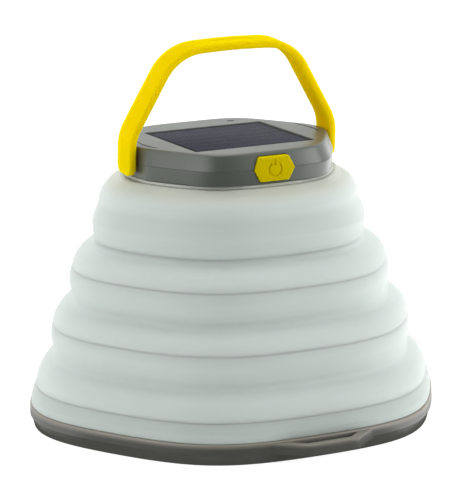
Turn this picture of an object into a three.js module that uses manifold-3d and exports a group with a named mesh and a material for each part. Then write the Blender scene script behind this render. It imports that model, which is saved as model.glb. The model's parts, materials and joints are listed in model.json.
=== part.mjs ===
// A collapsible solar camping lantern.
//
// A translucent silicone diffuser of stacked, rounded-hexagon bands stands on a moulded base ring
// with a hang loop. Folding webs join the bands, so the stack nests into itself. The head on top
// holds the solar panel, battery, boards and lamps, and carries a push button, a rubber cover over
// the charging port and a carrying handle.
//
// Units are millimetres. The origin is on the lantern's axis, at the surface that it stands on.
// +Z is up, -Y is the front (button and hang loop), and +X runs along the handle's pivot axis.

import * as THREE from "three";
import { mergeVertices } from "three/addons/utils/BufferGeometryUtils.js";
import Module from "manifold-3d";

const wasm = await Module();
wasm.setup();

// ------------------------------------------------------------------ driving dimensions

// Every outline is a hexagon with rounded corners: an apothem (half its width across flats) and a
// roundness, which is higher for a sharper corner. Two corners lie on the X axis.
const BASE_ROUNDNESS = 6.8;
const DIFFUSER_ROUNDNESS = 6.2;
const CAP_ROUNDNESS = 11;
const RING_SEGMENTS = 36;
const CAP_SEGMENTS = 48;
const ROUND_SEGMENTS = 32;

const GAP = 0.3; // clearance kept between neighbouring solids

// Base ring and what it holds
const BASE_APOTHEM = 55.0;
const BASE_BOTTOM_APOTHEM = 54.0;
const BASE_INSIDE = 53.7;
const BASE_HEIGHT = 5.5;
const BASE_CHAMFER_TOP = 2.7;
const FLANGE_APOTHEM = 47.5;
const FLANGE_THICKNESS = 1.5;
const DISH_THICKNESS = 1.4;
const REFLECTOR_THICKNESS = 0.6;
const BASE_SCREW_COUNT = 6;
const BASE_SCREW_RADIUS = 50.4; // from the axis
const LOWER_CLAMP = [48.6, 51.9]; // inner and outer apothem

// Hang loop at the front of the base ring
const LOOP_ROOT_HALF = 16;
const LOOP_BAR_HALF = 7;
const LOOP_BAR_FRONT = 60.2;
const LOOP_BAR_BACK = 57.6;
const LOOP_SLOT_FRONT_HALF = 6.4;
const LOOP_SLOT_BACK_HALF = 10;
const LOOP_BOTTOM = 2.4;
const LOOP_TOP = 5.2;

// Silicone diffuser: [apothem, height] of the outer surface
const SKIN = 1.2;
const FOOT_BEAD = [48.9, 52.9]; // inner and outer apothem
const COLLAR_INSIDE = 25.6;
const COLLAR_SHOULDER = 66.6;
const FOOT_PATH = [
  [53.4, 3.3],
  [53.4, 5.8],
  [54.4, 6.4],
  [54.3, 7.7],
  [54.0, 9.4],
  [53.3, 11.15],
];
const BANDS = [
  { groove: [46.3, 17.8], underside: [48.4, 21.8], belly: [49.1, 24.0], crown: [48.3, 27.65] },
  { groove: [40.8, 32.8], underside: [43.1, 37.4], belly: [43.5, 39.6], crown: [42.6, 42.9] },
  { groove: [35.2, 48.4], underside: [36.7, 51.3], belly: [37.1, 54.5], crown: [35.3, 59.0] },
];
const NECK = [31.0, 65.5];
const WEB_STEPS = 4;
const WEB_FULLNESS = 1.4; // 1 gives a quarter ellipse, 2 a straight slope

// Head
const CAP_BOTTOM = 67.6;
const CAP_PARTING = 71.6;
const CAP_TOP = 75.9;
const CAP_BOTTOM_APOTHEM = 28.0;
const CAP_APOTHEM = 28.3;
const CAP_TOP_APOTHEM = 26.4;
const CAP_WALL = 1.6;
const CAP_ROOF = 1.4;
const CAP_FLAT_X = 27.9; // the two corners on the X axis are cut flat for the handle
const TUB_RADIUS = 24;
const TUB_WALL = 1.2;
const TUB_BOTTOM = 61.2;
const TUB_SEGMENTS = 40;
const HEAD_SCREW_RADIUS = 26.7; // from the axis
const HEAD_SCREW_ANGLES = [60, 120, 240, 300];

// Solar panel, set into the top of the cap
const PANEL_WIDTH = 34.6;
const PANEL_DEPTH = 33;
const PANEL_CENTRE_Y = -1;
const PANEL_THICKNESS = 1.6;
const PANEL_RECESS = 0.2;
const ADHESIVE_SIZE = [30, 27, 0.3];

// Lamp module in the tub
const LED_COUNT = 6;
const LED_CIRCLE = 12;
const LED_SIZE = 2.8;
const LED_HEIGHT = 0.7;
const LENS_RADIUS = 19.4;

// Electronics
const BATTERY_SIZE = [34, 24, 3.5];
const PAD_SIZE = [26, 18, 0.6];
const BOARD_RADIUS = 22.9;
const BOARD_THICKNESS = 1;
const BOARD_BOTTOM = 70.0;
const USB_WIDTH = 7.6;
const USB_HEIGHT = 2.6;
const INDICATOR = [10.7, 20.3];
const LEAD_RADIUS = 0.45;
const LEAD_Y = 14.4; // the solar panel's leads run down here
const LED_LEAD_Y = 16;
const SWITCH_SIZE = [6, 3.2, 2.1];
const SWITCH_Y = -21;
const CHARGE_LED_SIZE = [1.6, 1, 0.8];

// Push button
const BUTTON_HALF_WIDTH = 5.85;
const BUTTON_TOP_HALF = 4.1;
const BUTTON_HALF_HEIGHT = 3.25;
const BUTTON_HEIGHT = 71.5; // its centre
const BUTTON_FACE = 28.9; // distance of its front face from the axis
const BUTTON_BACK = 25.0;
const TAB_HALF_WIDTH = 7.3; // of the tabs that keep the button in

// Rubber cover of the charging port
const PORT_CENTRE_Z = 72.6;
const FLAP_WIDTH = 11.6;
const FLAP_BOTTOM = 69.3;
const FLAP_TOP = 74.8;
const FLAP_THICKNESS = 0.7;
const PLUG_FRONT = 26.6;
const PLUG_HALF_HEIGHT = 0.45;

// Carrying handle
const PIVOT_Z = 71.2;
const HANDLE_WIDTH = 8.2;
const HANDLE_THICKNESS = 2.2;
const HANDLE_HALF_SPAN = 30.9;
const HANDLE_SHOULDER = [30.9, 7.6]; // corner where a leg turns inward, from the pivot
const HANDLE_TOP_CORNER = [17.75, 30.9];
const HANDLE_CREST = 31.9;
const HANDLE_SHOULDER_RADIUS = 13;
const HANDLE_TOP_RADIUS = 14.3;
const HANDLE_LEAN = THREE.MathUtils.degToRad(4.5); // towards the front
const PIVOT_PIN_RADIUS = 1.3;
const PIVOT_PIN_END = 25.8; // from the axis, inside the cap

// ------------------------------------------------------------------ solids and booleans

/** A manifold solid from any closed geometry, with its faces turned outward. */
function toSolid(geometry) {
  const plain = geometry.clone();
  plain.deleteAttribute("normal");
  plain.deleteAttribute("uv");
  const merged = mergeVertices(plain, 1e-4);
  const position = merged.attributes.position;
  const index = merged.index.array;
  const corners = [];
  let volume = 0;
  for (let i = 0; i < index.length; i += 3) {
    const [a, b, c] = [index[i], index[i + 1], index[i + 2]];
    if (a === b || b === c || a === c) continue;
    corners.push(a, b, c);
    const [p, q, r] = [a, b, c].map((k) => new THREE.Vector3().fromBufferAttribute(position, k));
    volume += p.dot(q.cross(r));
  }
  if (volume < 0) corners.reverse();
  const mesh = new wasm.Mesh({
    numProp: 3,
    vertProperties: new Float32Array(position.array),
    triVerts: new Uint32Array(corners),
  });
  return new wasm.Manifold(mesh);
}

/** The geometry of a manifold solid. */
function toGeometry(solid) {
  const mesh = solid.getMesh();
  const geometry = new THREE.BufferGeometry();
  geometry.setAttribute("position", new THREE.BufferAttribute(mesh.vertProperties, 3));
  geometry.setIndex(new THREE.BufferAttribute(mesh.triVerts, 1));
  geometry.computeVertexNormals();
  return geometry;
}

/** One geometry from several that overlap. */
function join(first, ...others) {
  return toGeometry(others.reduce((sum, other) => sum.add(toSolid(other)), toSolid(first)));
}

/** A geometry with others cut away from it. */
function cut(first, ...others) {
  return toGeometry(others.reduce((rest, other) => rest.subtract(toSolid(other)), toSolid(first)));
}

/** What two geometries share. */
function common(first, second) {
  return toGeometry(toSolid(first).intersect(toSolid(second)));
}

// ------------------------------------------------------------------ shapes

/** Radius of the rounded hexagon of apothem 1 at an angle from the X axis. */
function hexagonRadius(angle, roundness) {
  let sum = 0;
  for (let side = 0; side < 6; side += 1) {
    const facing = Math.cos(angle - Math.PI / 6 - (side * Math.PI) / 3);
    sum += Math.max(0, facing) ** roundness;
  }
  return sum ** (-1 / roundness);
}

/** A round solid about the Z axis from [radius, height] points. */
function turned(profile, segments = ROUND_SEGMENTS) {
  const points = profile.map(([radius, height]) => new THREE.Vector2(radius, height));
  return new THREE.LatheGeometry(points, segments).rotateX(Math.PI / 2);
}

/** A rounded-hexagon solid about the Z axis from [apothem, height] points. */
function hexTurned(profile, roundness, segments = RING_SEGMENTS) {
  const geometry = turned(profile, segments);
  const position = geometry.attributes.position;
  for (let i = 0; i < position.count; i += 1) {
    const [x, y] = [position.getX(i), position.getY(i)];
    const stretch = hexagonRadius(Math.atan2(y, x), roundness);
    position.setXY(i, x * stretch, y * stretch);
  }
  return geometry;
}

/** A closed rectangular ring profile. */
function ringProfile(inner, outer, bottom, top) {
  return [
    [inner, bottom],
    [outer, bottom],
    [outer, top],
    [inner, top],
    [inner, bottom],
  ];
}

/** A box given by its lowest and highest corners. */
function box(low, high) {
  const size = high.map((value, axis) => value - low[axis]);
  const centre = high.map((value, axis) => (value + low[axis]) / 2);
  return new THREE.BoxGeometry(...size).translate(...centre);
}

/** A vertical cylinder. */
function post(radius, bottom, top, x = 0, y = 0, segments = 16) {
  const geometry = new THREE.CylinderGeometry(radius, radius, top - bottom, segments);
  return geometry.rotateX(Math.PI / 2).translate(x, y, (top + bottom) / 2);
}

/** A cylinder along X. */
function crossPin(radius, fromX, toX, z, segments = 20) {
  const geometry = new THREE.CylinderGeometry(radius, radius, Math.abs(toX - fromX), segments);
  return geometry.rotateZ(Math.PI / 2).translate((fromX + toX) / 2, 0, z);
}

/** A flat plate of the given outline, standing across the Y axis between two depths. */
function plateAcrossY(outline, fromY, toY) {
  const shape = new THREE.Shape(outline.map(([x, z]) => new THREE.Vector2(x, z)));
  const geometry = new THREE.ExtrudeGeometry(shape, { depth: toY - fromY, bevelEnabled: false });
  return geometry.rotateX(Math.PI / 2).translate(0, toY, 0);
}

/** A horizontal plate of the given outline between two heights. */
function plateAcrossZ(shape, bottom, top, curveSegments = 6) {
  const settings = { depth: top - bottom, bevelEnabled: false, curveSegments };
  return new THREE.ExtrudeGeometry(shape, settings).translate(0, 0, bottom);
}

/** A thin round wire through points. */
function wire(points, radius) {
  const section = new THREE.Shape().absarc(0, 0, radius, 0, 2 * Math.PI);
  const path = new THREE.CatmullRomCurve3(points.map((point) => new THREE.Vector3(...point)));
  return new THREE.ExtrudeGeometry(section, {
    extrudePath: path,
    steps: 2 * points.length,
    curveSegments: 4,
  });
}

/** Places at equal turns, or at listed degrees, on a circle about the axis. */
function onCircle(radius, degrees) {
  return degrees.map((degree) => {
    const angle = THREE.MathUtils.degToRad(degree);
    return [radius * Math.cos(angle), radius * Math.sin(angle)];
  });
}

// ------------------------------------------------------------------ materials

/** A plain material. */
function finish(color, roughness, metalness = 0) {
  return new THREE.MeshStandardMaterial({ color, roughness, metalness });
}

const FINISHES = {
  housing: finish(0x7d8078, 0.5),
  silicone: finish(0xc9d3cf, 0.55),
  yellow: finish(0xf2cc08, 0.45),
  reflector: finish(0xf3f3ee, 0.35),
  basePlate: finish(0xb9bdb8, 0.5),
  clamp: finish(0xd8d9d4, 0.55),
  panel: finish(0x35334a, 0.25),
  adhesive: finish(0x2a2a2c, 0.9),
  board: finish(0x1f6a3c, 0.5),
  battery: finish(0xb8bcc2, 0.35, 0.6),
  foam: finish(0x303236, 0.95),
  switchBody: finish(0x1d1d20, 0.5),
  steel: finish(0xb4b7ba, 0.3, 1),
  lamp: finish(0xf4e6a0, 0.4),
  lens: finish(0xf0f4f4, 0.15),
  rubber: finish(0x6c6f68, 0.8),
  redLead: finish(0xb32020, 0.6),
  blackLead: finish(0x18181a, 0.6),
};

const lantern = new THREE.Group();

/** Adds a named part to the lantern. */
function add(name, geometry, material) {
  const mesh = new THREE.Mesh(toGeometry(toSolid(geometry)), material);
  mesh.name = name;
  lantern.add(mesh);
}

// ------------------------------------------------------------------ screws

const SCREW_SHAFT_RADIUS = 0.95;
const SCREW_HOLE_RADIUS = SCREW_SHAFT_RADIUS + GAP;
const SCREW_HEAD_RADIUS = 1.8;
const SCREW_HEAD_HEIGHT = 1.0;

/** A pan-head screw pointing up, with its head's underside at the given height. */
function screw(x, y, seat, tip) {
  const head = post(SCREW_HEAD_RADIUS, seat - SCREW_HEAD_HEIGHT, seat, x, y);
  const shaft = post(SCREW_SHAFT_RADIUS, seat - 0.2, tip, x, y, 12);
  return join(head, shaft);
}

/** The through holes for a row of screws. */
function screwHoles(places, bottom, top, radius = SCREW_HOLE_RADIUS) {
  return places.map(([x, y]) => post(radius, bottom, top, x, y, 12));
}

// ------------------------------------------------------------------ base

const baseScrewDegrees = Array.from({ length: BASE_SCREW_COUNT }, (_, k) => 30 + 60 * k);
const baseScrewPlaces = onCircle(BASE_SCREW_RADIUS, baseScrewDegrees);
const dishRimBottom = FLANGE_THICKNESS + GAP;
const dishRimTop = dishRimBottom + 1.2;
const beadBottom = dishRimTop + GAP;
const beadTop = beadBottom + 1.6;
const clampBottom = beadTop + GAP;
const clampTop = clampBottom + 1.4;
const screwRecess = SCREW_HEAD_HEIGHT + 0.2;

/** A point in the middle of the base ring's wall, as [x, y]. */
function wallPoint(angle) {
  const radius = ((BASE_INSIDE + BASE_APOTHEM) / 2) * hexagonRadius(angle, BASE_ROUNDNESS);
  return [radius * Math.cos(angle), radius * Math.sin(angle)];
}

/** The hang loop: a bar on two splayed arms in front of the ring's wall, around a slot. */
function hangLoop() {
  const spread = Math.atan(LOOP_ROOT_HALF / BASE_APOTHEM);
  const [left, right] = [-1, 1].map((side) => wallPoint(side * spread - Math.PI / 2));
  const waist = [LOOP_ROOT_HALF - 4.5, -BASE_APOTHEM - 0.8];
  const outline = new THREE.Shape();
  outline.moveTo(...left);
  outline.quadraticCurveTo(-waist[0], waist[1], -LOOP_BAR_HALF - 1, -LOOP_BAR_FRONT + 0.7);
  outline.quadraticCurveTo(-LOOP_BAR_HALF, -LOOP_BAR_FRONT, -LOOP_BAR_HALF + 1.5, -LOOP_BAR_FRONT);
  outline.lineTo(LOOP_BAR_HALF - 1.5, -LOOP_BAR_FRONT);
  outline.quadraticCurveTo(LOOP_BAR_HALF, -LOOP_BAR_FRONT, LOOP_BAR_HALF + 1, -LOOP_BAR_FRONT + 0.7);
  outline.quadraticCurveTo(waist[0], waist[1], ...right);
  const rootSteps = 6;
  for (let k = 1; k < rootSteps; k += 1) {
    outline.lineTo(...wallPoint(spread * (1 - (2 * k) / rootSteps) - Math.PI / 2));
  }
  const slotBack = BASE_APOTHEM - 0.4;
  const slot = new THREE.Path();
  slot.moveTo(-LOOP_SLOT_BACK_HALF, -slotBack);
  slot.lineTo(-LOOP_SLOT_FRONT_HALF, -LOOP_BAR_BACK);
  slot.lineTo(LOOP_SLOT_FRONT_HALF, -LOOP_BAR_BACK);
  slot.lineTo(LOOP_SLOT_BACK_HALF, -slotBack);
  slot.closePath();
  outline.holes.push(slot);
  return plateAcrossZ(outline, LOOP_BOTTOM, LOOP_TOP, 4);
}

function baseRing() {
  const ring = hexTurned(
    [
      [FLANGE_APOTHEM, 0],
      [BASE_BOTTOM_APOTHEM, 0],
      [BASE_APOTHEM - 0.4, BASE_CHAMFER_TOP],
      [BASE_APOTHEM, BASE_CHAMFER_TOP + 0.35],
      [BASE_APOTHEM - 0.1, BASE_HEIGHT - 0.6],
      [BASE_APOTHEM - 0.6, BASE_HEIGHT],
      [BASE_INSIDE, BASE_HEIGHT],
      [BASE_INSIDE, FLANGE_THICKNESS],
      [FLANGE_APOTHEM, FLANGE_THICKNESS],
      [FLANGE_APOTHEM, 0],
    ],
    BASE_ROUNDNESS,
  );
  const headSockets = screwHoles(baseScrewPlaces, -1, screwRecess + 1, SCREW_HEAD_RADIUS + GAP);
  return cut(join(ring, hangLoop()), ...headSockets);
}

/** The dished plate that closes the underside, with its rim above the ring's flange. */
function basePlate() {
  const dish = FLANGE_APOTHEM - GAP;
  const rim = BASE_INSIDE - GAP;
  const plate = hexTurned(
    [
      [0, 0],
      [dish, 0],
      [dish, dishRimBottom],
      [rim, dishRimBottom],
      [rim, dishRimTop],
      [dish - DISH_THICKNESS, dishRimTop],
      [dish - DISH_THICKNESS, DISH_THICKNESS],
      [0, DISH_THICKNESS],
    ],
    BASE_ROUNDNESS,
  );
  return cut(plate, ...screwHoles(baseScrewPlaces, 0, dishRimTop + 1));
}

function reflectorDisc() {
  const edge = FLANGE_APOTHEM - DISH_THICKNESS - 2 * GAP;
  const bottom = DISH_THICKNESS + GAP;
  const top = bottom + REFLECTOR_THICKNESS;
  return hexTurned(
    [
      [0, bottom],
      [edge, bottom],
      [edge, top],
      [0, top],
    ],
    BASE_ROUNDNESS,
  );
}

function lowerClampRing() {
  const profile = ringProfile(...LOWER_CLAMP, clampBottom, clampTop);
  return cut(
    hexTurned(profile, DIFFUSER_ROUNDNESS),
    ...screwHoles(baseScrewPlaces, clampBottom - 1, clampTop + 1),
  );
}

add("base_ring", baseRing(), FINISHES.housing);
add("base_plate", basePlate(), FINISHES.basePlate);
add("reflector", reflectorDisc(), FINISHES.reflector);
add("lower_clamp_ring", lowerClampRing(), FINISHES.clamp);
baseScrewPlaces.forEach(([x, y], k) => {
  add(`base_screw_${k + 1}`, screw(x, y, dishRimBottom - GAP, clampTop), FINISHES.steel);
});

// ------------------------------------------------------------------ diffuser

/** Points of a folding web, from the crown below it up to the groove above it. */
function webPath(crown, groove) {
  const path = [];
  for (let step = 0; step <= WEB_STEPS; step += 1) {
    const turn = (Math.PI / 2) * (1 - step / WEB_STEPS);
    const out = Math.sin(turn) ** WEB_FULLNESS;
    const up = Math.max(0, Math.cos(turn)) ** WEB_FULLNESS;
    path.push([groove[0] + (crown[0] - groove[0]) * out, crown[1] + (groove[1] - crown[1]) * up]);
  }
  return path;
}

/** Points of a band, from its groove up to its crown. */
function bandPath({ groove, underside, belly, crown }) {
  const round = [underside[0] - 0.5, groove[1] + 0.45 * (underside[1] - groove[1])];
  const brow = [belly[0] - 0.25, crown[1] - 0.45 * (crown[1] - belly[1])];
  return [groove, round, underside, belly, brow, crown];
}

/** The whole skin as named runs of [outer, inner] point pairs, from the foot to the neck. */
function skinRuns() {
  const crowns = [FOOT_PATH.at(-1), ...BANDS.map((band) => band.crown)];
  const grooves = [...BANDS.map((band) => band.groove), NECK];
  const runs = [{ name: "diffuser_foot", path: FOOT_PATH }];
  grooves.forEach((groove, k) => {
    const number = grooves.length - k;
    runs.push({ name: `diffuser_web_${number}`, path: webPath(crowns[k], groove) });
    if (BANDS[k]) runs.push({ name: `diffuser_band_${number - 1}`, path: bandPath(BANDS[k]) });
  });
  const outer = runs.flatMap((run, k) => (k ? run.path.slice(1) : run.path));
  const inner = outer.map((point, k) => insetPoint(outer, k));
  let start = 0;
  return runs.map(({ name, path }) => {
    const end = start + path.length;
    const run = { name, outer: outer.slice(start, end), inner: inner.slice(start, end) };
    start = end - 1;
    return run;
  });
}

/** A path's point moved inward by the skin's thickness, square to the path. */
function insetPoint(path, k) {
  const before = path[Math.max(0, k - 1)];
  const after = path[Math.min(path.length - 1, k + 1)];
  const along = new THREE.Vector2(after[0] - before[0], after[1] - before[1]).normalize();
  return [path[k][0] - SKIN * along.y, path[k][1] + SKIN * along.x];
}

/** A path with both ends drawn back by half a gap. */
function drawnBack(path) {
  const pull = (end, next) => {
    const along = new THREE.Vector2(next[0] - end[0], next[1] - end[1]).normalize();
    return [end[0] + (along.x * GAP) / 2, end[1] + (along.y * GAP) / 2];
  };
  const first = pull(path[0], path[1]);
  const last = pull(path.at(-1), path.at(-2));
  return [first, ...path.slice(1, -1), last];
}

/** The bead that the lower clamp ring holds, inward from the foot of the skin. */
function footBead() {
  return hexTurned(ringProfile(...FOOT_BEAD, beadBottom, beadTop), DIFFUSER_ROUNDNESS);
}

for (const { name, outer, inner } of skinRuns()) {
  const [outside, inside] = [drawnBack(outer), drawnBack(inner)];
  const skin = hexTurned([...outside, ...inside.reverse(), outside[0]], DIFFUSER_ROUNDNESS);
  const beaded = name === "diffuser_foot";
  const foot = () => cut(join(skin, footBead()), ...screwHoles(baseScrewPlaces, 0, beadTop + 1));
  add(name, beaded ? foot() : skin, FINISHES.silicone);
}

// ------------------------------------------------------------------ head shells

const headScrewPlaces = onCircle(HEAD_SCREW_RADIUS, HEAD_SCREW_ANGLES);
const housingFloorTop = CAP_BOTTOM + TUB_WALL;
const collarTop = CAP_BOTTOM - GAP;
const collarBottom = NECK[1] + 0.3;
const upperClampTop = collarBottom - GAP;
const upperClampBottom = upperClampTop - 1.2;
const panelTop = CAP_TOP - PANEL_RECESS;
const panelBottom = panelTop - PANEL_THICKNESS;
const pocketFloor = panelBottom - ADHESIVE_SIZE[2] - 2 * GAP;
const coverBottom = CAP_PARTING + GAP / 2;
const housingTop = CAP_PARTING - GAP / 2;
const boardTop = BOARD_BOTTOM + BOARD_THICKNESS;

/** An elongated hexagon about the button's centre, grown all round by a margin. */
function buttonOutline(margin) {
  const wide = BUTTON_HALF_WIDTH + 1.2 * margin;
  const top = BUTTON_TOP_HALF + 0.6 * margin;
  const high = BUTTON_HALF_HEIGHT + margin;
  return [
    [-wide, BUTTON_HEIGHT],
    [-top, BUTTON_HEIGHT - high],
    [top, BUTTON_HEIGHT - high],
    [wide, BUTTON_HEIGHT],
    [top, BUTTON_HEIGHT + high],
    [-top, BUTTON_HEIGHT + high],
  ];
}

/** A round or hexagonal solid trimmed at both ends of the X axis. */
function trimmed(solid, halfLength) {
  return common(solid, box([-halfLength, -60, 40], [halfLength, 60, 90]));
}

/** A solid in the cap's outline, from [apothem, height] points, cut flat where the handle sits. */
function capSolid(profile, inset = 0) {
  const closed = [[0, profile[0][1]], ...profile, [0, profile.at(-1)[1]]];
  return trimmed(hexTurned(closed, CAP_ROUNDNESS, CAP_SEGMENTS), CAP_FLAT_X - inset);
}

/** Everything that opens the cap's side walls: button, charging port and handle pivots. */
function sideOpenings() {
  const portHalf = USB_WIDTH / 2 + GAP;
  const portLow = PORT_CENTRE_Z - USB_HEIGHT / 2 - GAP;
  const portHigh = PORT_CENTRE_Z + USB_HEIGHT / 2 + GAP;
  return [
    plateAcrossY(buttonOutline(GAP), -30, -24),
    box([-portHalf, 20, portLow], [portHalf, 30, portHigh]),
    crossPin(PIVOT_PIN_RADIUS + GAP, -40, -24.5, PIVOT_Z),
    crossPin(PIVOT_PIN_RADIUS + GAP, 24.5, 40, PIVOT_Z),
  ];
}

/** The lower shell: the cap's lower wall and the round tub that hangs from it. */
function headHousing() {
  const shell = capSolid([
    [CAP_BOTTOM_APOTHEM, CAP_BOTTOM],
    [CAP_APOTHEM, housingTop],
  ]);
  const inside = CAP_APOTHEM - CAP_WALL;
  const hollow = capSolid(
    [
      [inside, housingFloorTop],
      [inside, housingTop + 1],
    ],
    CAP_WALL,
  );
  const tub = post(TUB_RADIUS, TUB_BOTTOM, housingFloorTop, 0, 0, TUB_SEGMENTS);
  const bore = post(TUB_RADIUS - TUB_WALL, TUB_BOTTOM + TUB_WALL, CAP_PARTING, 0, 0, TUB_SEGMENTS);
  const mouth = post(LENS_RADIUS + GAP, TUB_BOTTOM - 1, CAP_PARTING, 0, 0, TUB_SEGMENTS);
  return cut(
    join(shell, tub),
    hollow,
    bore,
    mouth,
    ...sideOpenings(),
    ...screwHoles(headScrewPlaces, 60, 80),
  );
}

/** The upper shell, with the pocket for the panel and the screw bosses. */
function headCover() {
  const shell = capSolid([
    [CAP_APOTHEM, coverBottom],
    [CAP_TOP_APOTHEM + 0.35, CAP_TOP - 0.5],
    [CAP_TOP_APOTHEM, CAP_TOP],
  ]);
  const hollow = capSolid(
    [
      [CAP_APOTHEM - CAP_WALL, coverBottom - 1],
      [CAP_APOTHEM - CAP_WALL, coverBottom],
      [CAP_TOP_APOTHEM - CAP_WALL, CAP_TOP - CAP_ROOF],
    ],
    CAP_WALL,
  );
  const pocket = (margin, bottom, top) => {
    const [halfWidth, halfDepth] = [PANEL_WIDTH / 2 + margin, PANEL_DEPTH / 2 + margin];
    const low = [-halfWidth, PANEL_CENTRE_Y - halfDepth, bottom];
    const high = [halfWidth, PANEL_CENTRE_Y + halfDepth, top];
    return box(low, high);
  };
  const tray = pocket(1.4, pocketFloor - 0.9, CAP_TOP - 1);
  const bosses = headScrewPlaces.map(([x, y]) => post(1.9, coverBottom, CAP_TOP - 1, x, y));
  const leadHoles = [-2, 2].map((x) => post(0.8, pocketFloor - 2, pocketFloor + 1, x, LEAD_Y));
  const lightHole = post(0.8 + GAP, 70, 80, ...INDICATOR);
  return cut(
    join(cut(shell, hollow), tray, ...bosses),
    pocket(GAP, pocketFloor, CAP_TOP + 1),
    ...leadHoles,
    lightHole,
    ...sideOpenings(),
    ...screwHoles(headScrewPlaces, 60, CAP_TOP - 1.8),
  );
}

/** The silicone collar under the cap, held between the housing and the clamp ring. */
function diffuserCollar() {
  const collar = hexTurned(
    [
      [COLLAR_INSIDE, collarBottom],
      [NECK[0], collarBottom],
      [NECK[0] + 0.6, collarBottom + 0.4],
      [NECK[0] + 0.6, COLLAR_SHOULDER - 0.3],
      [NECK[0] + 0.2, COLLAR_SHOULDER],
      [COLLAR_INSIDE + 1.8, COLLAR_SHOULDER],
      [COLLAR_INSIDE + 1.4, collarTop],
      [COLLAR_INSIDE, collarTop],
      [COLLAR_INSIDE, collarBottom],
    ],
    DIFFUSER_ROUNDNESS + 1,
  );
  return cut(collar, ...screwHoles(headScrewPlaces, 60, 80));
}

function upperClampRing() {
  const profile = ringProfile(COLLAR_INSIDE, COLLAR_INSIDE + 3, upperClampBottom, upperClampTop);
  return cut(
    hexTurned(profile, DIFFUSER_ROUNDNESS + 1),
    ...screwHoles(headScrewPlaces, 60, 80),
  );
}

add("head_housing", headHousing(), FINISHES.housing);
add("head_cover", headCover(), FINISHES.housing);
add("diffuser_collar", diffuserCollar(), FINISHES.silicone);
add("upper_clamp_ring", upperClampRing(), FINISHES.clamp);
headScrewPlaces.forEach(([x, y], k) => {
  add(`head_screw_${k + 1}`, screw(x, y, upperClampBottom - GAP, CAP_TOP - 2.4), FINISHES.steel);
});

// ------------------------------------------------------------------ solar panel and lamp module

/** A slab centred on the panel, with the given size, on the given height. */
function panelSlab([width, depth, thickness], bottom) {
  return box(
    [-width / 2, PANEL_CENTRE_Y - depth / 2, bottom],
    [width / 2, PANEL_CENTRE_Y + depth / 2, bottom + thickness],
  );
}

/** A block of the given size that stands on a height, about a point in plan. */
function block([length, width, height], bottom, x = 0, y = 0) {
  return box([x - length / 2, y - width / 2, bottom], [x + length / 2, y + width / 2, bottom + height]);
}

const panelSize = [PANEL_WIDTH, PANEL_DEPTH, PANEL_THICKNESS];
add("solar_panel", panelSlab(panelSize, panelBottom), FINISHES.panel);
add("panel_adhesive", panelSlab(ADHESIVE_SIZE, pocketFloor + GAP), FINISHES.adhesive);
add("indicator_window", post(0.8, boardTop + 1.5, CAP_TOP - 0.1, ...INDICATOR), FINISHES.lens);

const lensFlangeBottom = TUB_BOTTOM + TUB_WALL + GAP;
const lensFlangeTop = lensFlangeBottom + 0.9;
const ledBoardBottom = lensFlangeTop + GAP;
const ledBoardTop = ledBoardBottom + BOARD_THICKNESS;
const ledTop = ledBoardBottom - GAP;

/** The clear dished lens under the lamps, with a flange that rests in the tub. */
function ledLens() {
  return turned([
    [0, TUB_BOTTOM - 0.9],
    [LENS_RADIUS - 1.5, TUB_BOTTOM - 0.9],
    [LENS_RADIUS, TUB_BOTTOM],
    [LENS_RADIUS, lensFlangeBottom],
    [TUB_RADIUS - TUB_WALL - GAP, lensFlangeBottom],
    [TUB_RADIUS - TUB_WALL - GAP, lensFlangeTop],
    [LENS_RADIUS - 1.6, lensFlangeTop],
    [LENS_RADIUS - 1.6, TUB_BOTTOM + 0.3],
    [0, TUB_BOTTOM + 0.3],
  ]);
}

add("led_lens", ledLens(), FINISHES.lens);
const ledBoardRadius = TUB_RADIUS - TUB_WALL - GAP;
add("led_board", post(ledBoardRadius, ledBoardBottom, ledBoardTop, 0, 0, 40), FINISHES.reflector);
const ledDegrees = Array.from({ length: LED_COUNT }, (_, k) => (360 / LED_COUNT) * k);
onCircle(LED_CIRCLE, ledDegrees).forEach(([x, y], k) => {
  const chip = block([LED_SIZE, LED_SIZE, LED_HEIGHT], ledTop - LED_HEIGHT, x, y);
  add(`led_${k + 1}`, chip, FINISHES.lamp);
});

// ------------------------------------------------------------------ battery, board and leads

const padBottom = ledBoardTop + GAP;
const padTop = padBottom + PAD_SIZE[2];
const batteryBottom = padTop + GAP;
const [batteryLength, batteryWidth, batteryHeight] = BATTERY_SIZE;
const batteryTop = batteryBottom + batteryHeight;

/** A pouch cell: a block with a lower sealed lip at the end that its leads leave. */
function batteryCell() {
  const body = box(
    [-batteryLength / 2, -batteryWidth / 2, batteryBottom],
    [batteryLength / 2 - 2, batteryWidth / 2, batteryTop],
  );
  const lip = box(
    [batteryLength / 2 - 3, -batteryWidth / 2 + 1, batteryBottom + 1.2],
    [batteryLength / 2, batteryWidth / 2 - 1, batteryBottom + 2.4],
  );
  return join(body, lip);
}

add("battery_pad", block(PAD_SIZE, padBottom), FINISHES.foam);
add("battery_cell", batteryCell(), FINISHES.battery);
add("main_board", post(BOARD_RADIUS, BOARD_BOTTOM, boardTop, 0, 0, 40), FINISHES.board);

/** The charging socket: a shell open at the back. */
function usbSocket() {
  const [low, high] = [PORT_CENTRE_Z - USB_HEIGHT / 2, PORT_CENTRE_Z + USB_HEIGHT / 2];
  const body = box([-USB_WIDTH / 2, 20.6, low], [USB_WIDTH / 2, 27.0, high]);
  const mouth = box([-USB_WIDTH / 2 + 0.5, 22, low + 0.5], [USB_WIDTH / 2 - 0.5, 28, high - 0.5]);
  return cut(body, mouth);
}

add("usb_socket", usbSocket(), FINISHES.steel);
add("tact_switch", block(SWITCH_SIZE, boardTop + GAP, 0, SWITCH_Y), FINISHES.switchBody);
add("charge_led", block(CHARGE_LED_SIZE, boardTop + GAP, ...INDICATOR), FINISHES.lamp);

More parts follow.
